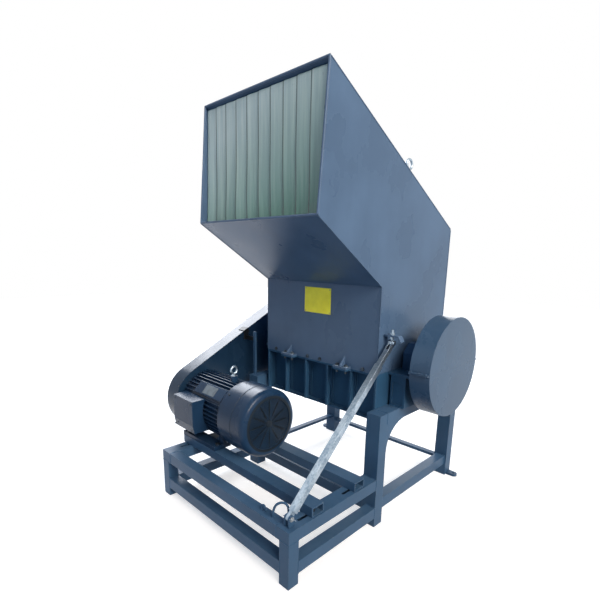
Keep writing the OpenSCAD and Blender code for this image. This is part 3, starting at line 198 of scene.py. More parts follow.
# The second colour of each enamel is its thinner coat, and also the colour of its streaks of painted
# reflection.
finishes = {
    "stand_paint": enamel("enamel_on_square_tube", "#345372", "#3d5d7d", "#6f7f8d", shine=0.15),
    "chamber_paint": enamel(
        "enamel_on_thick_plate", "#284a68", "#315575", "#5f707f", roughness=0.4, shine=0.1),
    "housing_iron": enamel(
        "enamel_on_cast_iron", "#26466a", "#315276", "#66778a", roughness=0.42, shine=0.12),
    "hopper_paint": enamel(
        "enamel_on_hopper_sheet", HOPPER_BLUE, "#4c6583", "#7d8b99", roughness=0.3, wear=0.3),
    "cover_paint": enamel(
        "enamel_on_rolled_cover", "#36506c", "#3e5976", "#7d8b99", roughness=0.26, wear=0.3),
    "guard_paint": enamel(
        "enamel_on_belt_guard", "#182f46", "#1f3852", "#4c6075", roughness=0.26, wear=0.3),
    "strap_paint": enamel("black_enamel_on_strap", "#15181c", "#1d2126", "#4a5056", roughness=0.4),
    "motor_paint": enamel(
        "enamel_on_motor_casting", "#172f4a", "#1f3a57", "#4c6075", roughness=0.3, edge_mm=2.0, shine=0.17),
}
print("Enamels:", len(finishes))

# %% [markdown]
# ## Bare metals
# Steel that is cut on a lathe or a grinder keeps fine parallel marks, and blackened bolts keep a dull oxide.
# A metal takes its colour from its reflections, so the base colour is pale and the roughness does the work.
# The marks are noise drawn out one way. Real ones lie some tenths of a millimetre apart, and these 2 to 8 mm,
# so that they show.

# %% Metals
STAIN_MM, MARK_DEPTH_MM, METAL_EDGE_MM = 30, 0.03, 1.2


def metal(name, colour, stain, roughness, mark_mm, stretch=(1.0, 1.0, 1.0)):
    """Bare metal with machining marks and a stain in spots."""
    material, tree, shader, place = start_material(name, Metallic=1.0)
    spots = add(tree, "TexNoise", {"Vector": place, "Scale": per_metre(STAIN_MM), "Detail": 6.0})
    share = add(tree, "MapRange", {"Value": spots, "From Min": 0.4, "From Max": 0.65})
    tint = add(tree, "Mix", {"Factor": share, 6: linear(colour), 7: linear(stain)}, data_type="RGBA")
    long_way = add(tree, "Mapping", {"Vector": place, "Scale": stretch})
    marks = add(tree, "TexNoise", {"Vector": long_way, "Scale": per_metre(mark_mm), "Detail": 3.0})
    dull = add(tree, "MapRange", {
        "Value": marks, "From Min": 0.3, "From Max": 0.7,
        "To Min": roughness - 0.08, "To Max": roughness + 0.1})
    rounded = add(tree, "Bevel", {"Radius": METAL_EDGE_MM / 1000}, samples=4)
    bump = add(tree, "Bump", {
        "Height": marks, "Normal": rounded, "Strength": 0.3, "Distance": MARK_DEPTH_MM / 1000})
    plug(tree, shader, tint, dull, bump)
    return material


metals = {
    "bearing_steel": metal("ground_bearing_steel", "#b4bac0", "#8f969d", 0.22, 3, (0.1, 1, 1)),
    "knife_steel": metal("ground_tool_steel", "#b9bdc1", "#989da2", 0.24, 3, (1, 0.1, 1)),
    "machined_steel": metal("turned_shaft_steel", "#a3a9ae", "#80878d", 0.28, 3, (8, 0.3, 0.3)),
    "rotor_steel": metal("oiled_rotor_steel", "#5a5e62", "#3c3f43", 0.42, 8),
    "bolt_steel": metal("blackened_bolt_steel", "#4b5661", "#323a43", 0.4, 4),
    "pulley_iron": metal("turned_cast_iron", "#6a6e72", "#4c5054", 0.4, 4, (6, 0.4, 0.4)),
    "nameplate": metal("brushed_aluminium", "#6d7780", "#5a646d", 0.42, 2, (0.05, 1, 1)),
}
finishes.update(metals)
print("Metals:", len(metals))

# %% [markdown]
# ## Galvanised tube
# The jack strut is not painted: it is zinc plated tube, bright and mottled, with grey patches where the zinc
# has weathered. Its crystals are a Voronoi pattern of about 9 mm, mixed with slower runs along the tube.

# %% Zinc
CRYSTAL_MM, RUN_MM, TUBE_EDGE_MM, ZINC_DEPTH_MM = 9, 24, 1.5, 0.3


def zinc_plate():
    """Bright zinc with a crystal mottle and dull streaks down the tube."""
    material, tree, shader, place = start_material("zinc_plated_tube", Metallic=1.0)
    crystals = add(tree, "TexVoronoi", {"Vector": place, "Scale": per_metre(CRYSTAL_MM)})
    long_way = add(tree, "Mapping", {"Vector": place, "Scale": (1.0, 0.3, 0.3)})
    streaks = add(tree, "TexNoise", {
        "Vector": long_way, "Scale": per_metre(RUN_MM), "Detail": 6.0, "Roughness": 0.65})
    mottle = add(tree, "Mix", {"Factor": 0.8, 2: crystals.outputs["Color"], 3: streaks})
    share = add(tree, "MapRange", {"Value": mottle, "From Min": 0.38, "From Max": 0.62})
    tint = add(tree, "Mix", {"Factor": share, 6: linear("#8496a6"), 7: linear("#b4c2ce")}, data_type="RGBA")
    dull = add(tree, "MapRange", {"Value": share, "To Min": 0.46, "To Max": 0.32})
    rounded = add(tree, "Bevel", {"Radius": TUBE_EDGE_MM / 1000}, samples=4)
    bump = add(tree, "Bump", {
        "Height": streaks, "Normal": rounded, "Strength": 0.25, "Distance": ZINC_DEPTH_MM / 1000})
    plug(tree, shader, tint, dull, bump)
    return material


finishes["zinc_steel"] = zinc_plate()
print("Zinc plate made")

# %% [markdown]
# ## Rubber, plastic and film
# The V-belts are wrapped in rubber cloth, the cooling fan is moulded nylon, the motor's winding is varnished
# copper and the warning plate is a yellow vinyl film, left bare here. Each is one Principled shader with a
# grain. The nylon's IOR is set below its real 1.53, because dust has taken its sheen.

# %% Plastics


def moulded(name, colour, shade, roughness, grain_mm, ior=1.5, bump_mm=0.1, metallic=0.0):
    """A dull plastic, rubber or varnish with a grain, drawn coarser than it is so that it shows."""
    material, tree, shader, place = start_material(name, Metallic=metallic, IOR=ior)
    grain = add(tree, "TexNoise", {"Vector": place, "Scale": per_metre(grain_mm), "Detail": 4.0})
    share = add(tree, "MapRange", {"Value": grain, "From Min": 0.35, "From Max": 0.65})
    tint = add(tree, "Mix", {"Factor": share, 6: linear(colour), 7: linear(shade)}, data_type="RGBA")
    dull = add(tree, "MapRange", {"Value": share, "To Min": roughness - 0.05, "To Max": roughness + 0.08})
    bump = add(tree, "Bump", {"Height": grain, "Strength": 0.3, "Distance": bump_mm / 1000})
    plug(tree, shader, tint, dull, bump)
    return material


finishes.update({
    "belt_rubber": moulded("cloth_wrapped_rubber", "#1b1b1c", "#262627", 0.75, 3, ior=1.52),
    "fan_plastic": moulded("moulded_nylon", "#0c1721", "#13212e", 0.5, 5, ior=1.33),
    "winding": moulded("varnished_copper_wire", "#8a4f2a", "#5e3319", 0.35, 3, metallic=0.6),
    "label_yellow": moulded("yellow_vinyl_film", "#f7ef28", "#ebe21f", 0.35, 40, bump_mm=0.05),
})
print("Finishes:", len(finishes))

# %% [markdown]
# ## Soft vinyl
# The strips of the feed curtain are soft clear PVC with a green cast. They let light through but blur what is
# behind them, and where two overlap the green gets deeper. A thin sheet like this is drawn with a share of
# transmission and a rough surface, and with pale haze in long streaks where the strips have rubbed against
# each other. Its colour also carries painted light: pale at the heads and towards the left, where light
# reaches the curtain, and deep green at the feet, in the shade inside the mouth. A cut edge traps the light
# and looks dark green, so the shader counts strips along X and darkens the start of each.

# %% Vinyl
STRIPS, STRIP_LAP = 10, 12.0
HAZE_MM = 28
# Between these heights and sides the tint changes as painted light, from the dark green foot to the pale
# head.
FEET_Z, HEADS_Z, LEFT_X, RIGHT_X = 1.6, 2.2, -0.42, 0.48  # metres, between which the tint changes
(curtain_x0, _, strip_foot), (curtain_x1, _, _) = corners("curtain_strips")
pitch = (curtain_x1 - curtain_x0) / STRIPS


def soft_vinyl():
    """Clear green PVC sheet, hazed in streaks along its length, with painted light that makes it pale at its
    head and greener at its foot.
    """
    material, tree, shader, place = start_material("soft_clear_pvc", **{
        "IOR": 1.53, "Transmission Weight": 0.3, "Roughness": 0.22})
    tall = add(tree, "Mapping", {"Vector": place, "Scale": (1.0, 1.0, 0.04)})
    haze = add(tree, "TexNoise", {
        "Vector": tall, "Scale": per_metre(HAZE_MM), "Detail": 4.0, "Roughness": 0.6})
    share = add(tree, "MapRange", {"Value": haze, "From Min": 0.42, "From Max": 0.68})
    # Painted light: paler towards the heads and the left, deeper green at the feet in the mouth's shade.
    spot = add(tree, "SeparateXYZ", {"Vector": place})
    high = add(tree, "MapRange", {"Value": spot.outputs["Z"], "From Min": FEET_Z, "From Max": HEADS_Z})
    aside = add(tree, "MapRange", {
        "Value": spot.outputs["X"], "From Min": LEFT_X, "From Max": RIGHT_X, "To Min": 0.3, "To Max": -0.25})
    painted_light_share = add(tree, "Math", {0: high, 1: aside}, operation="ADD", use_clamp=True)
    foot = add(tree, "Mix", {"Factor": share, 6: linear("#3f8274"), 7: linear("#5f9c8c")}, data_type="RGBA")
    head = add(tree, "Mix", {"Factor": share, 6: linear("#b6cfd6"), 7: linear("#cde2e4")}, data_type="RGBA")
    tint = add(tree, "Mix", {"Factor": painted_light_share, 6: foot.outputs[2], 7: head.outputs[2]}, data_type="RGBA")
    first_edge = at(curtain_x0 - STRIP_LAP, 0, 0).x
    from_edge = add(tree, "Math", {0: spot.outputs["X"], 1: first_edge}, operation="SUBTRACT")
    in_pitches = add(tree, "Math", {0: from_edge, 1: 1000 / pitch}, operation="MULTIPLY")
    along = add(tree, "Math", {0: in_pitches}, operation="FRACT")
    cut_edge = add(tree, "MapRange", {
        "Value": along, "From Min": 0.03, "From Max": 0.1, "To Min": 0.85, "To Max": 0.0})
    final = add(tree, "Mix", {"Factor": cut_edge, 6: tint.outputs[2], 7: linear("#1f3d3a")}, data_type="RGBA")
    tree.links.new(final.outputs[2], shader.inputs["Base Color"])
    ripple = add(tree, "Bump", {"Height": haze, "Strength": 0.4, "Distance": 0.002})
    tree.links.new(ripple.outputs["Normal"], shader.inputs["Normal"])
    return material


finishes["curtain_vinyl"] = soft_vinyl()
print("Vinyl made")

# %% [markdown]
# ## Painting the solids
# Every solid of the model names the finish that it has on the real machine. Most of them already have their
# true shape, so they only change the material in their slots.

# %% Paint every solid
slot_of = {part["node"]: part["material_slot"] for part in frame["record"]["subparts"]}
for node, solid in frame["nodes"].items():
    solid.data.materials.clear()
    solid.data.materials.append(finishes[slot_of[node]])
print("Painted", len(slot_of), "solids")

# %% [markdown]
# ## Shapes in millimetres
# The solids carry the machine's main forms. What makes it look real is smaller: weld beads, washers, screws,
# the hem of the hopper's mouth. Each is only a few dozen points, so they are placed in code. A shape here is
# a list of points in the drawing's millimetres and a list of faces. One function turns a profile on a lathe,
# one sweeps a round bar, one cuts a plate, and one lays a shape down somewhere else.

# %% Shape helpers
UP = Vector((0, 0, 1))
RIPPLE_TURN = 2.4  # radians of a weld's ripple from one ring of the bead to the next


def round_trip(items):
    """Each item with the one after it, and the last with the first."""
    return zip(items, items[1:] + items[:1])


def turned(profile, sides=24, closed=False):
    """A profile of radii and heights turned round Z. A radius of zero is one point on the axis."""
    points, rings = [], []
    for radius, height in profile:
        ring_sides = sides if radius else 1
        rings.append([len(points) + i for i in range(ring_sides)])
        for i in range(ring_sides):
            turn = math.tau * i / sides
            points.append(Vector((radius * math.cos(turn), radius * math.sin(turn), height)))
    faces = []
    for low, high in zip(rings, rings[1:] + (rings[:1] if closed else [])):
        for i in range(sides):
            j = (i + 1) % sides
            if len(low) == 1:
                faces.append((low[0], high[j], high[i]))
            elif len(high) == 1:
                faces.append((low[i], low[j], high[0]))
            else:
                faces.append((low[i], low[j], high[j], high[i]))
    return points, faces


def bar(path, radius, sides=8, closed=False, ripple=0.0):
    """A round bar swept along a path. A ripple in its radius makes it a weld bead."""
    path = [Vector(place) for place in path]
    last = len(path) - 1
    points, faces, side = [], [], None
    for i, here in enumerate(path):
        before = path[i - 1] if closed or i else here
        after = path[(i + 1) % len(path)] if closed or i < last else here
        along = (after - before).normalized()
        side = side or along.orthogonal()
        side = (side - along * side.dot(along)).normalized()
        up = along.cross(side)
        thick = radius * (1 + ripple * math.cos(RIPPLE_TURN * i))
        for k in range(sides):
            turn = math.tau * k / sides
            points.append(here + thick * (math.cos(turn) * side + math.sin(turn) * up))
    for i in range(len(path) if closed else last):
        this, following = i * sides, (i + 1) % len(path) * sides
        for k in range(sides):
            n = (k + 1) % sides
            faces.append((this + k, this + n, following + n, following + k))
    if not closed:
        faces += [tuple(range(sides))[::-1], tuple(range(last * sides, (last + 1) * sides))]
    return points, faces


def plate(outline, thickness, chamfer=0.6):
    """A flat plate from an outline drawn anticlockwise, with its rims broken by a chamfer."""
    middle = sum((Vector((*p, 0)) for p in outline), Vector()) / len(outline)
    rims = ((-chamfer, 0), (0, chamfer), (0, thickness - chamfer), (-chamfer, thickness))
    points, count = [], len(outline)
    for grown, height in rims:
        for p in outline:
            out = Vector((*p, 0)) - middle
            points.append(middle + out * (1 + grown / out.length) + UP * height)
    faces = [tuple(range(count))[::-1], tuple(range(3 * count, 4 * count))]
    for start in (0, count, 2 * count):
        for i, j in round_trip(list(range(start, start + count))):
            faces.append((i, j, j + count, i + count))
    return points, faces


def moved(shape, place, axis=UP):
    """A shape with its Z laid along an axis and its origin at a place."""
    lay = UP.rotation_difference(Vector(axis)).to_matrix()
    return [lay @ p + Vector(place) for p in shape[0]], shape[1]


def joined(shapes):
    """Several shapes as one."""
    points, faces = [], []
    for shape_points, shape_faces in shapes:
        faces += [tuple(i + len(points) for i in face) for face in shape_faces]
        points += shape_points
    return points, faces


def row(shape, places, axis=UP):
    """The same shape at many places."""
    return joined([moved(shape, place, axis) for place in places])


def add_object(name, data):
    """A new object in the scene."""
    made = bpy.data.objects.new(name, data)
    bpy.context.scene.collection.objects.link(made)
    return made


def mesh_of(name, finish, shape):
    """A mesh from a shape in the drawing's millimetres, with one of the frame's finishes."""
    mesh = bpy.data.meshes.new(name)
    mesh.from_pydata([at(*p) for p in shape[0]], [], shape[1])
    mesh.materials.append(finishes[finish])
    return mesh


def piece(name, body, finish, shape, sharp=35):
    """An object that rides on a body of the frame. Corners over so many degrees stay sharp."""
    mesh = mesh_of(name, finish, shape)
    mesh.shade_smooth()
    mesh.set_sharp_from_angle(angle=math.radians(sharp))
    made = add_object(name, mesh)
    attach(made, body)
    return made


print("Shape helpers ready")

# %% [markdown]
# ## The feed curtain
# Ten strips of soft PVC hang in the hopper's mouth and keep chips from flying back at whoever feeds it. Each
# is about 111 mm wide and 2 mm thick, and laps over the next like a shingle. Its head is laid over the bar
# and riveted to itself, and its shoulder is cut round so that it can swing without catching. So stiff a strip
# moves little under its own weight, so each one is a bent grid and not a simulated cloth, and its twist comes
# from a seeded list. They all share the same slow wave, which keeps them clear of each other.

# %% Curtain
bar_low, bar_high = corners("curtain_bar")
CURTAIN_BAR = Vector((0, (bar_low.y + bar_high.y) / 2, (bar_low.z + bar_high.z) / 2))
STRIP_T, LOOP_R, TAIL = 2.0, 8.8, 42.0
SHOULDER, SHOULDER_RUN = 26.0, 62.0  # how far the shoulder is cut in, and over what length
LEAN = 1.5  # each strip leans so much out at its left edge and in at its right one
FIRST_TWIST, TWISTS = 16.0, (2.5, 6.0)  # the first strip is twisted most
BOW, BOW_RUN, SWAY, SWAY_RUN = 7, 150, 3, 130  # the slow wave
TURN_STEPS, FRONT_STEPS, STRIP_STEPS = 8, 38, 10
RIVET_STEPS, RIVET_DROP = (30, 66), 24
OVER = TAIL + LOOP_R * math.pi  # a strip's length from its tail's end to where it hangs free
front_length = CURTAIN_BAR.z - strip_foot
# The lengths from a strip's tail at which its rows of points lie.
rows = [0.0, TAIL / 2] + [TAIL + LOOP_R * math.pi * i / TURN_STEPS for i in range(TURN_STEPS + 1)]
rows += [OVER + front_length * i / FRONT_STEPS for i in range(1, FRONT_STEPS + 1)]


def shoulder_cut(along):
    """How much narrower a strip is at a length from its tail's end."""
    short = max(0.0, 1 - max(0.0, along - TAIL) / SHOULDER_RUN)
    return SHOULDER * short * short


def skin(columns):
    """Faces of two grids of points laid back to back and closed round their rim."""
    sheet = len(rows) * columns
    faces = []
    for row_start in range(0, sheet - columns, columns):
        for a in range(row_start, row_start + columns - 1):
            faces.append((a, a + 1, a + columns + 1, a + columns))
            faces.append((a + sheet, a + sheet + columns, a + sheet + columns + 1, a + sheet + 1))
    rim = list(range(columns)) + list(range(2 * columns - 1, sheet, columns))
    rim += list(range(sheet - 2, sheet - columns - 1, -1)) + list(range(sheet - 2 * columns, 0, -columns))
    return faces + [(a, a + sheet, b + sheet, b) for a, b in round_trip(rim)]


def strip(left, right, twist):
    """One strip: behind the bar, over it and down. Its left edge lies in front of its neighbour."""
    points, area = [], 0.0
    for face in (-1, 1):
        for along in rows:
            turn = min(max((along - TAIL) / LOOP_R, 0.0), math.pi)
            drop = max(along - OVER, 0.0)
            height = min(along - TAIL, 0.0) - drop
            share_down = drop / front_length
            free = share_down * share_down * (3 - 2 * share_down)
            end = right - shoulder_cut(along)
            for column in range(STRIP_STEPS + 1):
                share = 2 * column / STRIP_STEPS - 1
                x = left + (end - left) * column / STRIP_STEPS
                reach = LOOP_R - (LEAN + twist * free) * share + face * STRIP_T / 2
                wave = free * (BOW * math.sin(x / BOW_RUN + 0.6)
                               + SWAY * math.sin(share_down * 7 + x / SWAY_RUN))
                place = Vector((x, reach * math.cos(turn) + wave, reach * math.sin(turn) + height))
                points.append(place + CURTAIN_BAR)
    for low, high in zip(rows, rows[1:]):
        area += (high - low) * (right - left - shoulder_cut((low + high) / 2))
    return (points, skin(STRIP_STEPS + 1)), area


draw = random.Random(11)
strips, rivet_places = [], []
for i in range(STRIPS):
    left = max(curtain_x0, curtain_x0 + i * pitch - STRIP_LAP)
    right = min(curtain_x1, curtain_x0 + (i + 1) * pitch + STRIP_LAP)
    shape, area = strip(left, right, FIRST_TWIST if i == 0 else draw.uniform(*TWISTS))
    hanging = piece(f"curtain_strip_{i + 1:02d}", "curtain", "curtain_vinyl", shape)
    strips.append(hanging)
    for step in RIVET_STEPS:
        rivet_places.append((left + step, CURTAIN_BAR.y - LOOP_R - STRIP_T, CURTAIN_BAR.z - RIVET_DROP))
rivet = turned([(0, 0), (3.0, 0), (2.6, 1.0), (1.4, 1.7), (0, 1.9)], 12)
piece("curtain_rivets", "curtain", "curtain_vinyl", row(rivet, rivet_places, (0, -1, 0)))
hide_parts("curtain_strips")
print("Strips:", len(strips), "each", round(front_length), "mm below the bar")

# %% [markdown]
# ## Four V-belts
# The motor's torque reaches the rotor through four wedge-shaped belts of rubber cloth. They are soft, so they
# can't stay plain solids, and they cross a joint: the motor slides on its rails to tighten them. Each belt is
# one closed wedge swept round both pulleys.

# %% Belts
pulley_low, pulley_high = corners("motor_pulley")
wheel_low, wheel_high = corners("rotor_pulley")
MOTOR_AXIS = (pulley_low + pulley_high) / 2
ROTOR_AXIS = (wheel_low + wheel_high) / 2
BELTS, BELT_PITCH, BELT_W, BELT_T, BELT_SINK = 4, 20.0, 12.0, 10.0, 2.0
ARC_STEPS, RUN_STEPS = 32, 12
small_r = (pulley_high.z - pulley_low.z) / 2 - BELT_SINK
big_r = (wheel_high.z - wheel_low.z) / 2 - BELT_SINK


def belt_line(inset):
    """Points of the belt's line round both pulleys, in depth and height."""
    span = ROTOR_AXIS - MOTOR_AXIS
    tilt = math.atan2(span.z, span.y)
    hug = math.pi - math.acos((big_r - small_r) / math.hypot(span.y, span.z))  # half the big wheel's arc
    arcs = []
    for axis, radius, start, end in (
            (ROTOR_AXIS, big_r, hug, -hug), (MOTOR_AXIS, small_r, -hug, hug - math.tau)):
        turns = [tilt + start + (end - start) * i / ARC_STEPS for i in range(ARC_STEPS + 1)]
        arcs.append([Vector((0, axis.y + (radius - inset) * math.cos(turn),
                             axis.z + (radius - inset) * math.sin(turn))) for turn in turns])
    line = []
    for arc, following in round_trip(arcs):
        line += arc + [arc[-1].lerp(following[0], i / RUN_STEPS) for i in range(1, RUN_STEPS)]
    return line


def belt(x):
    """One belt as a wedge: wide outside, narrow inside."""
    points = []
    for outer, inner in zip(belt_line(0), belt_line(BELT_T)):
        for share, place in ((-1 / 2, outer), (1 / 2, outer), (1 / 3, inner), (-1 / 3, inner)):
            points.append(Vector((x + share * BELT_W, place.y, place.z)))
    faces = []
    for a, b in round_trip(list(range(0, len(points), 4))):
        faces += [(a + k, a + (k + 1) % 4, b + (k + 1) % 4, b + k) for k in range(4)]
    return points, faces


belts = joined([belt(MOTOR_AXIS.x + (i - (BELTS - 1) / 2) * BELT_PITCH) for i in range(BELTS)])
drive_belts = add_object("drive_belts", mesh_of("drive_belts", "belt_rubber", belts))
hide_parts("v_belts")
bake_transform(drive_belts)
print("Belts:", BELTS, "between axes", round((ROTOR_AXIS - MOTOR_AXIS).length), "mm apart")

# %% [markdown]
# ## Bolt heads, washers and screws
# Real bolts stand on washers, and a washer is what the eye reads as a bolt from three metres away. One set of
# small turned shapes serves the whole machine: a flat washer, a hexagon head with its corners turned off, and
# a round screw head with a socket.

# %% Fasteners


def washer(hole, rim, thick, edge=0.4):
    """A flat washer that stands on z = 0."""
    return turned([(hole, 0), (rim - edge, 0), (rim, edge), (rim, thick - edge), (rim - edge, thick),
                   (hole, thick)], closed=True)


def hexagon(radius, high):
    """A hexagon head with its corners turned off."""
    return turned([(0, 0), (radius * 0.97, 0), (radius, 0.5), (radius, high * 0.82), (radius * 0.86, high),
                   (0, high)], 6)


def screw_head(radius, high):
    """A round head with a socket in its top."""
    return turned([(0, -1), (radius, -1), (radius, high * 0.75), (radius * 0.86, high), (radius * 0.5, high),
                   (radius * 0.5, high * 0.45), (0, high * 0.45)], 16)


def bolt_on_washer(radius):
    """A hexagon head on its washer, for a screw of a radius."""
    return joined([washer(radius * 0.9, radius * 2.2, radius * 0.35),
                   moved(hexagon(radius * 1.8, radius * 1.4), (0, 0, radius * 0.3))])


def on_circle(centre, x, radius, degrees):
    """A place round an axle that runs along X."""
    turn = math.radians(degrees)
    return Vector((x, centre.y + radius * math.cos(turn), centre.z + radius * math.sin(turn)))


print("Fasteners ready")

# %% [markdown]
# ## The hopper's small parts
# The hopper is folded from 6 mm sheet. Its mouth has a round hem, so that nobody is cut on it, and its
# corners and the joint under the lip are welded from outside. The clamp bolts and the rim bolts stand on
# washers. The warning plate is riveted at its corners.

# %% Hopper trim
LIP, MOUTH_TOP, BEND, SPLIT_Z = Vector((0, -503, 1647)), Vector((0, -455, 2261)), Vector((0, 0, 1328)), 854
ROOF_FRONT, ROOF_REAR, REAR_TOP = Vector((0, -445, 2253)), Vector((0, 706, 1658)), Vector((0, 710, 1650))
HEM_R, HEM_INSET, BEAD_STEP, BEAD_RIPPLE = 6.5, 4, 4.5, 0.14
THIN, LIGHT, PLAIN, HEAVY = 2.5, 3, 3.5, 4  # radii of weld beads
LUG_X, LUG_REACH, LUG_HALF, LUG_Z = 220.5, 50, 7, SPLIT_Z + 11


def level_with(side, place):
    """The same depth and height at one side of the hopper."""
    return Vector((side, place.y, place.z))


def stepped(a, b, step):
    """Points from a to b, about a step apart."""
    a, b = Vector(a), Vector(b)
    count = max(1, round((b - a).length / step))
    return [a.lerp(b, i / count) for i in range(count + 1)]


def weld(a, b, radius=PLAIN):
    """A weld bead from a to b, with a ripple every few millimetres."""
    return bar(stepped(a, b, BEAD_STEP), radius, 6, ripple=BEAD_RIPPLE)


foot, head = LIP + Vector((0, 3, 2)), MOUTH_TOP + Vector((0, 4, -5))
left, right = hopper_low.x + HEM_INSET, hopper_high.x - HEM_INSET
mouth = [level_with(left, foot), level_with(right, foot), level_with(right, head), level_with(left, head)]
hem = joined([bar(stepped(a, b, 200), HEM_R, 12) for a, b in round_trip(mouth)])
piece("hopper_mouth_hem", "hopper", "hopper_paint", hem)

seams = []
for side in (hopper_low.x, hopper_high.x):
    for a, b in ((Vector((0, 0, SPLIT_Z + 2)), BEND), (BEND, LIP), (ROOF_FRONT, ROOF_REAR),
                 (REAR_TOP, Vector((0, REAR_TOP.y, SPLIT_Z + 2)))):
        seams.append(weld(level_with(side, a), level_with(side, b), THIN))
seams.append(weld((hopper_low.x, 0, BEND.z - 1), (hopper_high.x, 0, BEND.z - 1), LIGHT))
piece("hopper_seam_welds", "hopper", "hopper_paint", joined(seams), sharp=60)

lug_welds = []
for x in (-LUG_X, LUG_X):
    lug_welds.append(weld((x - LUG_REACH, 0, LUG_Z), (x - LUG_HALF, 0, LUG_Z)))
    lug_welds.append(weld((x + LUG_HALF, 0, LUG_Z), (x + LUG_REACH, 0, LUG_Z)))
    for side in (-4.5, 4.5):  # both faces of the lug's gusset
        lug_welds.append(weld((x + side, 0, LUG_Z + 1), (x + side, 0, LUG_Z + 55), THIN))
        lug_welds.append(weld((x + side, -2, LUG_Z), (x + side, -42, LUG_Z), THIN))
piece("hopper_lug_welds", "hopper", "hopper_paint", joined(lug_welds), sharp=60)

clamp_places = [(x + step, -24, LUG_Z) for x in (-LUG_X, LUG_X) for step in (-32, 32)]
piece("clamp_washers", "hopper", "zinc_steel", row(washer(6.8, 15.5, 2.4), clamp_places))
rim_places = [(share * hopper_high.x, 0, SPLIT_Z + 15) for share in (-0.81, -0.16, 0.07, 0.79)]
piece("rim_washers", "hopper", "bolt_steel", row(washer(6.1, 11, 1.6), rim_places, (0, -1, 0)))
label_low, label_high = corners("label_plate")
label_pins = [(x, label_low.y, z) for x in (label_low.x + 8, label_high.x - 8)
              for z in (label_low.z + 8, label_high.z - 8)]
label_pin = turned([(0, -1), (3.4, -1), (3.4, 0), (2.6, 1.0), (0, 1.5)], 14)
piece("label_rivets", "hopper", "nameplate", row(label_pin, label_pins, (0, -1, 0)))
print("Hopper seams:", len(seams) + len(lug_welds))

# %% [markdown]
# ## Welds of the stand
# The stand is square tube, welded all round where one tube meets another. A bead about 7 mm wide, with its
# ripples, softens each inside corner and catches a thin line of light. The beads are swept along the edges
# where the tubes touch, half sunk in the corner like the real ones.

# %% Stand welds
# Each tube or bar: the axis it runs along, the faces it butts on, its two other extents, the bead's radius.
TUBE_ENDS = {
    "left side beam": (1, (0, 776), (-567, -481), (596, 658), PLAIN),
    "right side beam": (1, (0, 776), (451, 537), (596, 658), PLAIN),
    "right lower rail": (1, (0, 776), (462.5, 525.5), (78, 141), PLAIN),
    "left lower bar": (1, (0, 776), (-544, -504), (125, 145), THIN),
    "front lower rail": (0, (-480, 450), (-67.5, -4.5), (78, 141), PLAIN),
    "rear cross bar": (0, (-480, 450), (792, 832), (98, 118), THIN),
    "frame left low rail": (1, (-669, -72), (-599, -538), (55, 118), PLAIN),
    "frame right low rail": (1, (-669, -72), (476, 537), (55, 118), PLAIN),
    "frame front low rail": (0, (-537, 475), (-731, -670), (55, 118), PLAIN),
    "frame left slotted member": (1, (-72,), (-567, -513), (228, 291), PLAIN),
    "frame right slotted member": (1, (-72,), (450, 537), (228, 291), PLAIN),
    "frame front top rail": (0, (-512, 450), (-731, -669), (229, 290), PLAIN),
    "frame left leg": (2, (228,), (-599, -538), (-731, -669), PLAIN),
    "frame right leg": (2, (228,), (476, 537), (-731, -669), PLAIN),
}


def weld_round(axis, level, wide, high, radius):
    """Beads round a tube's four sides where it meets a face."""
    loop = [[wide[i], high[j]] for i, j in ((0, 0), (1, 0), (1, 1), (0, 1))]
    for corner in loop:
        corner.insert(axis, level)
    return [weld(a, b, radius) for a, b in round_trip(loop)]


beads = []
for axis, levels, wide, high, radius in TUBE_ENDS.values():
    for level in levels:
        beads += weld_round(axis, level, wide, high, radius)
piece("stand_welds", "stand", "stand_paint", joined(beads), sharp=60)
print("Stand welds:", len(beads))

# %% [markdown]
# ## The chamber's seams and screws
# The cutting chamber is thick plate with ribs, welded on both sides of each rib. The bearing shelves carry
# the housings, which are closed by caps with socket screws and greased through a nipple. The flywheel cover
# is made of two halves that meet at the axle's height in narrow bolted flanges.

# %% Chamber trim
ROTOR = Vector((0, 355, 890))
RIBS_X, RIB_SIDES, RIB_FOOT, RIB_HEAD, TABLE_Z = (-270, -90, 90, 270), (-6, 6), 580, 838, 841
FRONT_WALL, REAR_WALL, SIDE_X, SIDE_OUT = 59, 651, 438, 451
SHELF_X, SHELF_Y, SHELF_Z = (466, 559), (119, 591), 661
CAP_X, CAP_SCREWS_R, NIPPLE_X, NIPPLE_Z = 560, 98, 515, 1000

rib_welds = []
for x in RIBS_X:
    for side in RIB_SIDES:
        rib_welds.append(weld((x + side, 2, TABLE_Z), (x + side, FRONT_WALL - 1, TABLE_Z), LIGHT))
        for wall in (FRONT_WALL, REAR_WALL):
            rib_welds.append(weld((x + side, wall, RIB_FOOT), (x + side, wall, RIB_HEAD), HEAVY))
for x in (-SIDE_X, SIDE_X):
    rib_welds.append(weld((x, FRONT_WALL, RIB_FOOT), (x, FRONT_WALL, RIB_HEAD), HEAVY))
for x in (-LUG_X, LUG_X):
    rib_welds.append(weld((x - LUG_REACH, -1, TABLE_Z + 2), (x + LUG_REACH, -1, TABLE_Z + 2), LIGHT))
for side in (-1, 1):
    out, (y0, y1) = side * SIDE_OUT, SHELF_Y
    rib_welds.append(weld((out, y0 - 3, RIB_HEAD), (out, y1 + 3, RIB_HEAD)))
    for y in SHELF_Y:
        rib_welds.append(weld((side * SHELF_X[0], y, SHELF_Z), (side * SHELF_X[1], y, SHELF_Z)))
piece("chamber_welds", "stand", "chamber_paint", joined(rib_welds), sharp=60)

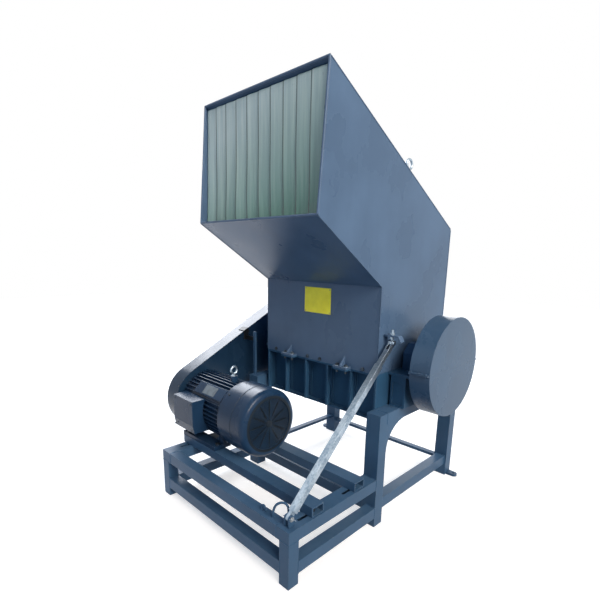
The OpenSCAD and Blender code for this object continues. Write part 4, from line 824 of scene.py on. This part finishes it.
cap_screws, nipples = [], []
nipple = turned([(0, -2), (6, -2), (6, 4), (3.2, 6), (3.2, 10), (4.4, 12), (3.0, 15), (0, 15.6)], 12)
for side in (-1, 1):
    places = [on_circle(ROTOR, side * CAP_X, CAP_SCREWS_R, angle) for angle in range(30, 360, 60)]
    cap_screws += [moved(screw_head(9, 9), place, (side, 0, 0)) for place in places]
    nipples.append(moved(nipple, (side * NIPPLE_X, ROTOR.y, NIPPLE_Z)))
piece("housing_screws", "stand", "bolt_steel", joined(cap_screws))
piece("grease_nipples", "stand", "zinc_steel", joined(nipples))

cover_low, cover_high = corners("flywheel_cover_upper")
COVER_R, FLANGE_OUT, FLANGE_T, FLANGE_GAP = 280, 16, 5, 0.5
flanges = []
for out in (-1, 1):
    rim_y = ROTOR.y + out * COVER_R
    y0, y1 = sorted((rim_y - out * 1.5, rim_y + out * FLANGE_OUT))
    x0, x1 = cover_low.x + 3, cover_high.x - 3
    flange = plate([(x0, y0), (x1, y0), (x1, y1), (x0, y1)], FLANGE_T)
    top, bottom = ROTOR.z + FLANGE_GAP + FLANGE_T, ROTOR.z - FLANGE_GAP - FLANGE_T
    flanges += [moved(flange, (0, 0, ROTOR.z + FLANGE_GAP)), moved(flange, (0, 0, bottom))]
    for x in (cover_low.x + 18, (cover_low.x + cover_high.x) / 2, cover_high.x - 18):
        flanges.append(moved(hexagon(6, 4.5), (x, rim_y + out * 9, top)))
        flanges.append(moved(hexagon(6, 5), (x, rim_y + out * 9, bottom), (0, 0, -1)))
piece("cover_flanges", "stand", "cover_paint", joined(flanges))
print("Rib welds:", len(rib_welds), "housing screws:", len(cap_screws))

# %% [markdown]
# ## The motor's small parts
# The motor is a standard foot-mounted induction motor. The fan cowl's end is a grille of wire rings on
# spokes, dark against the fan behind it, with a small cap in the middle. The cowl is rolled sheet with a
# swaged groove round it and a few screws, and a thin dark ring beside the groove is painted shadow. The end
# shields are held by through bolts, and the terminal box has a lid on four screws and a cable gland below it.

# %% Motor trim
MOTOR = Vector((0, -377, 541.3))
cowl_low, cowl_high = corners("fan_cowl")
COWL_R = (cowl_high.z - cowl_low.z) / 2
FACE_R, GRILLE_R, HUB_R = COWL_R - 33, COWL_R - 50, 18
RING_SIDES, RING_STEP, SPOKES = 48, 7, 12
GRILLE_X, GROOVE_X = cowl_high.x - 3.2, cowl_low.x + 112


def on_motor(shape, x):
    """A turned shape laid on the motor's axis."""
    return moved(shape, (x, MOTOR.y, MOTOR.z), (1, 0, 0))


wires = []
for radius in range(HUB_R + 8, int(GRILLE_R) - 1, RING_STEP):
    ring = [on_circle(MOTOR, GRILLE_X, radius, 360 * i / RING_SIDES) for i in range(RING_SIDES)]
    wires.append(bar(ring, 1.4, 6, closed=True))
for angle in range(0, 360, 360 // SPOKES):
    ends = [on_circle(MOTOR, GRILLE_X - 1.8, radius, angle) for radius in (HUB_R, GRILLE_R - 1)]
    wires.append(bar(ends, 1.6, 6))
rim = turned([(GRILLE_R, -1), (GRILLE_R, 1.2), (FACE_R - 5, 1.2), (FACE_R - 1, 0.4), (FACE_R - 1, -1)],
             64, closed=True)
cap = turned([(0, -1.6), (22, -1.6), (20, 1.4), (15, 2.6), (0, 3.0)], 32)
piece("cowl_grille", "motor_carriage", "fan_plastic",
      joined(wires + [on_motor(rim, cowl_high.x), on_motor(cap, GRILLE_X)]))
groove = turned([(COWL_R - 0.3, -5), (COWL_R + 1.4, -3.6), (COWL_R + 1.6, -2), (COWL_R + 1.6, 2),
                 (COWL_R + 1.4, 3.6), (COWL_R - 0.3, 5)], 96, closed=True)
piece("cowl_swage", "motor_carriage", "motor_paint", on_motor(groove, GROOVE_X))
# A thin ring in the dark nylon finish beside the groove: painted shadow of the groove's lip.
shadow_line = turned([(COWL_R - 0.4, 4.6), (COWL_R + 0.5, 4.6), (COWL_R + 0.5, 7.4), (COWL_R - 0.4, 7.4)],
                     96, closed=True)
piece("cowl_groove_painted_shadow", "motor_carriage", "fan_plastic", on_motor(shadow_line, GROOVE_X))

steel = []
for angle in (40, 130, 220, 310):
    place = on_circle(MOTOR, cowl_low.x + 22, COWL_R, angle)
    steel.append(moved(screw_head(6.5, 4.5), place, place - Vector((place.x, MOTOR.y, MOTOR.z))))
box_low, box_high = corners("terminal_box")
for x in (box_low.x + 16, box_high.x - 16):
    for z in (box_low.z + 18, box_high.z - 18):
        steel.append(moved(screw_head(6, 4), (x, box_low.y, z), (0, -1, 0)))
shields_end = corners("motor_end_shields")[0].x
for angle in (45, 135, 225, 315):
    steel.append(moved(bolt_on_washer(6), on_circle(MOTOR, shields_end, 150, angle), (-1, 0, 0)))
piece("motor_screws", "motor_carriage", "bolt_steel", joined(steel))

gland = joined([turned([(0, -2), (25, -2), (25, 12), (0, 12)], 6),
                moved(turned([(0, 0), (19, 0), (19, 5), (17, 15), (14, 18), (0, 18)], 20), (0, 0, 12))])
gland_place = ((box_low.x + box_high.x) / 2, (box_low.y + box_high.y) / 2 - 12, box_low.z)
piece("cable_gland", "motor_carriage", "fan_plastic", moved(gland, gland_place, (0, 0, -1)))
print("Grille rings:", len(wires) - SPOKES, "motor screws:", len(steel))

# %% [markdown]
# ## The guard's and the strut's small parts
# The belt guard's cover is screwed to its back plate round the rim. The strut's lower end is kept on its pin
# by split pins, and beside it a hoop of round bar is welded to the front rail, where the strut is parked when
# the hopper is shut. The eye on the front rail takes the pin's chain.

# %% Guard and strut trim
guard_x = corners("belt_guard_shell")[1].x - 9
# Each end of the guard: its axle, its radius, its screws' angles.
GUARD_ENDS = ((MOTOR, 212.0, (150, 205, 260, 300)), (ROTOR, 235.0, (95, 45, 0, -50)))
HOOP = [(396, -700, 288), (396, -698, 318), (404, -690, 350), (422, -676, 366), (442, -664, 366),
        (456, -660, 352), (460, -660, 322), (460, -660, 288)]
EYE, EYE_R = Vector((330, -700, 306)), 17

rim_screws = []
for centre, radius, angles in GUARD_ENDS:
    for angle in angles:
        out = on_circle(Vector(), 0, 1, angle)
        place = level_with(guard_x, centre) + out * radius
        rim_screws.append(moved(screw_head(5.5, 3.5), place, out))
piece("guard_screws", "stand", "bolt_steel", joined(rim_screws))

pin_low, pin_high = corners("strut_base_pin")
clips = []
for x, side in ((pin_low.x + 3, -1), (pin_high.x - 3, 1)):
    middle = level_with(x, (pin_low + pin_high) / 2)
    bends = ((0, -16, 9), (0, 0, 0), (0, 15, -8), (side * 4, 19, -14))
    clips.append(bar([middle + Vector(p) for p in bends], 1.8))
piece("strut_split_pins", "stand", "zinc_steel", joined(clips))


def smooth(path, steps=5):
    """A path with its corners rounded by a spline through its points."""
    places = [Vector(p) for p in path]
    places = [places[0]] + places + [places[-1]]
    line = []
    for a, b, c, d in zip(places, places[1:], places[2:], places[3:]):
        for i in range(steps):
            t = i / steps
            line.append(0.5 * (2 * b + (c - a) * t + (2 * a - 5 * b + 4 * c - d) * t * t
                               + (3 * b - a - 3 * c + d) * t * t * t))
    return line + [places[-1]]


turns = [math.tau * i / 24 for i in range(24)]
eye = bar([EYE + EYE_R * Vector((math.cos(t), 0, math.sin(t))) for t in turns], 4, closed=True)
piece("parking_hoop", "stand", "stand_paint", joined([bar(smooth(HOOP), 6, 12), eye]))
print("Guard screws:", len(rim_screws))

# %% [markdown]
# ## Floor and light
# The photograph shows the machine on plain white. A pale floor carries the soft shadow, and both it and the
# sky turn white where the camera, a reflection or a clear sheet looks at them, without more light on the
# machine. Of the four soft lamps, a large one on the flywheel side, held to a cone, makes that side the
# bright one. A weak one fills the front, one stands behind, and one high on the left lights the tops of the
# hopper, guard and motor.

# %% Sky


def looked_at(tree):
    """1 for a ray from the camera, a reflection or a clear sheet, and 0 for a ray that gathers light."""
    ray = add(tree, "LightPath")
    camera_or_gloss = add(tree, "Math", {
        0: ray.outputs["Is Camera Ray"], 1: ray.outputs["Is Glossy Ray"]}, operation="MAXIMUM")
    return add(tree, "Math", {0: camera_or_gloss, 1: ray.outputs["Is Transmission Ray"]}, operation="MAXIMUM")


world = bpy.data.worlds.new("white_studio")
bpy.context.scene.world = world
world.use_nodes = True
sky = world.node_tree
sky.nodes.clear()
dim = add(sky, "Background", {"Color": linear("#cfe6ff"), "Strength": 0.26})
white = add(sky, "Background", {"Color": linear("#ffffff"), "Strength": 1.0})
choice = add(sky, "MixShader", {0: looked_at(sky), 1: dim, 2: white})
add(sky, "OutputWorld", {"Surface": choice})
print("Sky made")

# %% Lamps


def soft_lamp(name, place, aim, width, watts, colour, cone=180):
    """A square soft lamp that looks at a point. A small cone keeps its light to one part of the machine."""
    lamp = bpy.data.lights.new(name, "AREA")
    lamp.size, lamp.energy, lamp.color = width, watts, linear(colour)[:3]
    lamp.spread = math.radians(cone)
    holder = add_object(name, lamp)
    holder.location = place
    holder.rotation_euler = (Vector(aim) - Vector(place)).to_track_quat("-Z", "Y").to_euler()
    return holder


lamps = [
    soft_lamp("side_lamp", (4.2, -1.0, 4.4), (0, 0, 1.8), 4.0, 92, "#ffefdf", cone=55),
    soft_lamp("front_lamp", (-1.6, -4.6, 3.2), (0, 0, 1.0), 3.0, 20, "#dcecff"),
    soft_lamp("back_lamp", (-3.0, 4.2, 2.6), (0, 0, 1.0), 4.0, 110, "#fbfcff"),
    soft_lamp("left_top_lamp", (-4.2, 1.1, 3.6), (0, 0, 1.0), 2.4, 210, "#f4f8ff"),
]
print("Lamps:", len(lamps))

# %% Floor
FLOOR_HALF, ROLLER_MM = 14, 400
GLOW_NEAR, GLOW_FAR = 1.2, 4.5  # metres from the middle, between which the floor fades to plain white
floor_material, floor_tree, floor_shader, floor_place = start_material(
    "pale_concrete_paint", Roughness=0.7, IOR=1.45)
rolled = add(floor_tree, "TexNoise", {"Vector": floor_place, "Scale": per_metre(ROLLER_MM), "Detail": 4.0})
pale = add(floor_tree, "Mix", {
    "Factor": rolled, 6: linear("#cfd1d3"), 7: linear("#c9cbce")}, data_type="RGBA")
floor_tree.links.new(pale.outputs[2], floor_shader.inputs["Base Color"])
far = add(floor_tree, "VectorMath", {0: floor_place}, operation="LENGTH")
fade = add(floor_tree, "MapRange", {
    "Value": far.outputs["Value"], "From Min": GLOW_NEAR, "From Max": GLOW_FAR, "To Min": 0.6})
glow = add(floor_tree, "Math", {0: looked_at(floor_tree), 1: fade}, operation="MULTIPLY")
floor_shader.inputs["Emission Color"].default_value = linear("#ffffff")
floor_tree.links.new(glow.outputs["Value"], floor_shader.inputs["Emission Strength"])
floor_mesh = bpy.data.meshes.new("floor")
floor_mesh.from_pydata([(x * FLOOR_HALF, y * FLOOR_HALF, 0) for x, y in ((-1, -1), (1, -1), (1, 1), (-1, 1))],
                       [], [(0, 1, 2, 3)])
floor_mesh.materials.append(floor_material)
floor = add_object("floor", floor_mesh)
print("Floor laid")

# %% [markdown]
# ## Camera
# The photograph was taken by hand from the front right, at about chest height. Its place was worked out from
# the machine's own straight edges. The picture was cropped afterwards, so its middle is not the lens axis:
# the shift puts the machine where the photograph has it.

# %% Camera
AZIMUTH, ELEVATION, ROLL = (math.radians(v) for v in (44.43, 12.62, 1.10))
back = Vector((math.sin(AZIMUTH) * math.cos(ELEVATION), -math.cos(AZIMUTH) * math.cos(ELEVATION),
               math.sin(ELEVATION)))
level = (-back).cross(UP).normalized()
upright = level.cross(-back)
rightwards = math.cos(ROLL) * level + math.sin(ROLL) * upright
upwards = -math.sin(ROLL) * level + math.cos(ROLL) * upright
lens = bpy.data.cameras.new("camera")
lens.lens, lens.sensor_width = 25.2, 36
lens.shift_x, lens.shift_y = -0.0043, 0.0848
camera = add_object("camera", lens)
camera.matrix_world = Matrix((rightwards, upwards, back)).transposed().to_4x4()
camera.location = at(1700, -1854, 1474)
bpy.context.scene.camera = camera
bpy.context.scene.view_settings.view_transform = "Standard"
print("Camera at", [round(v, 3) for v in camera.location])
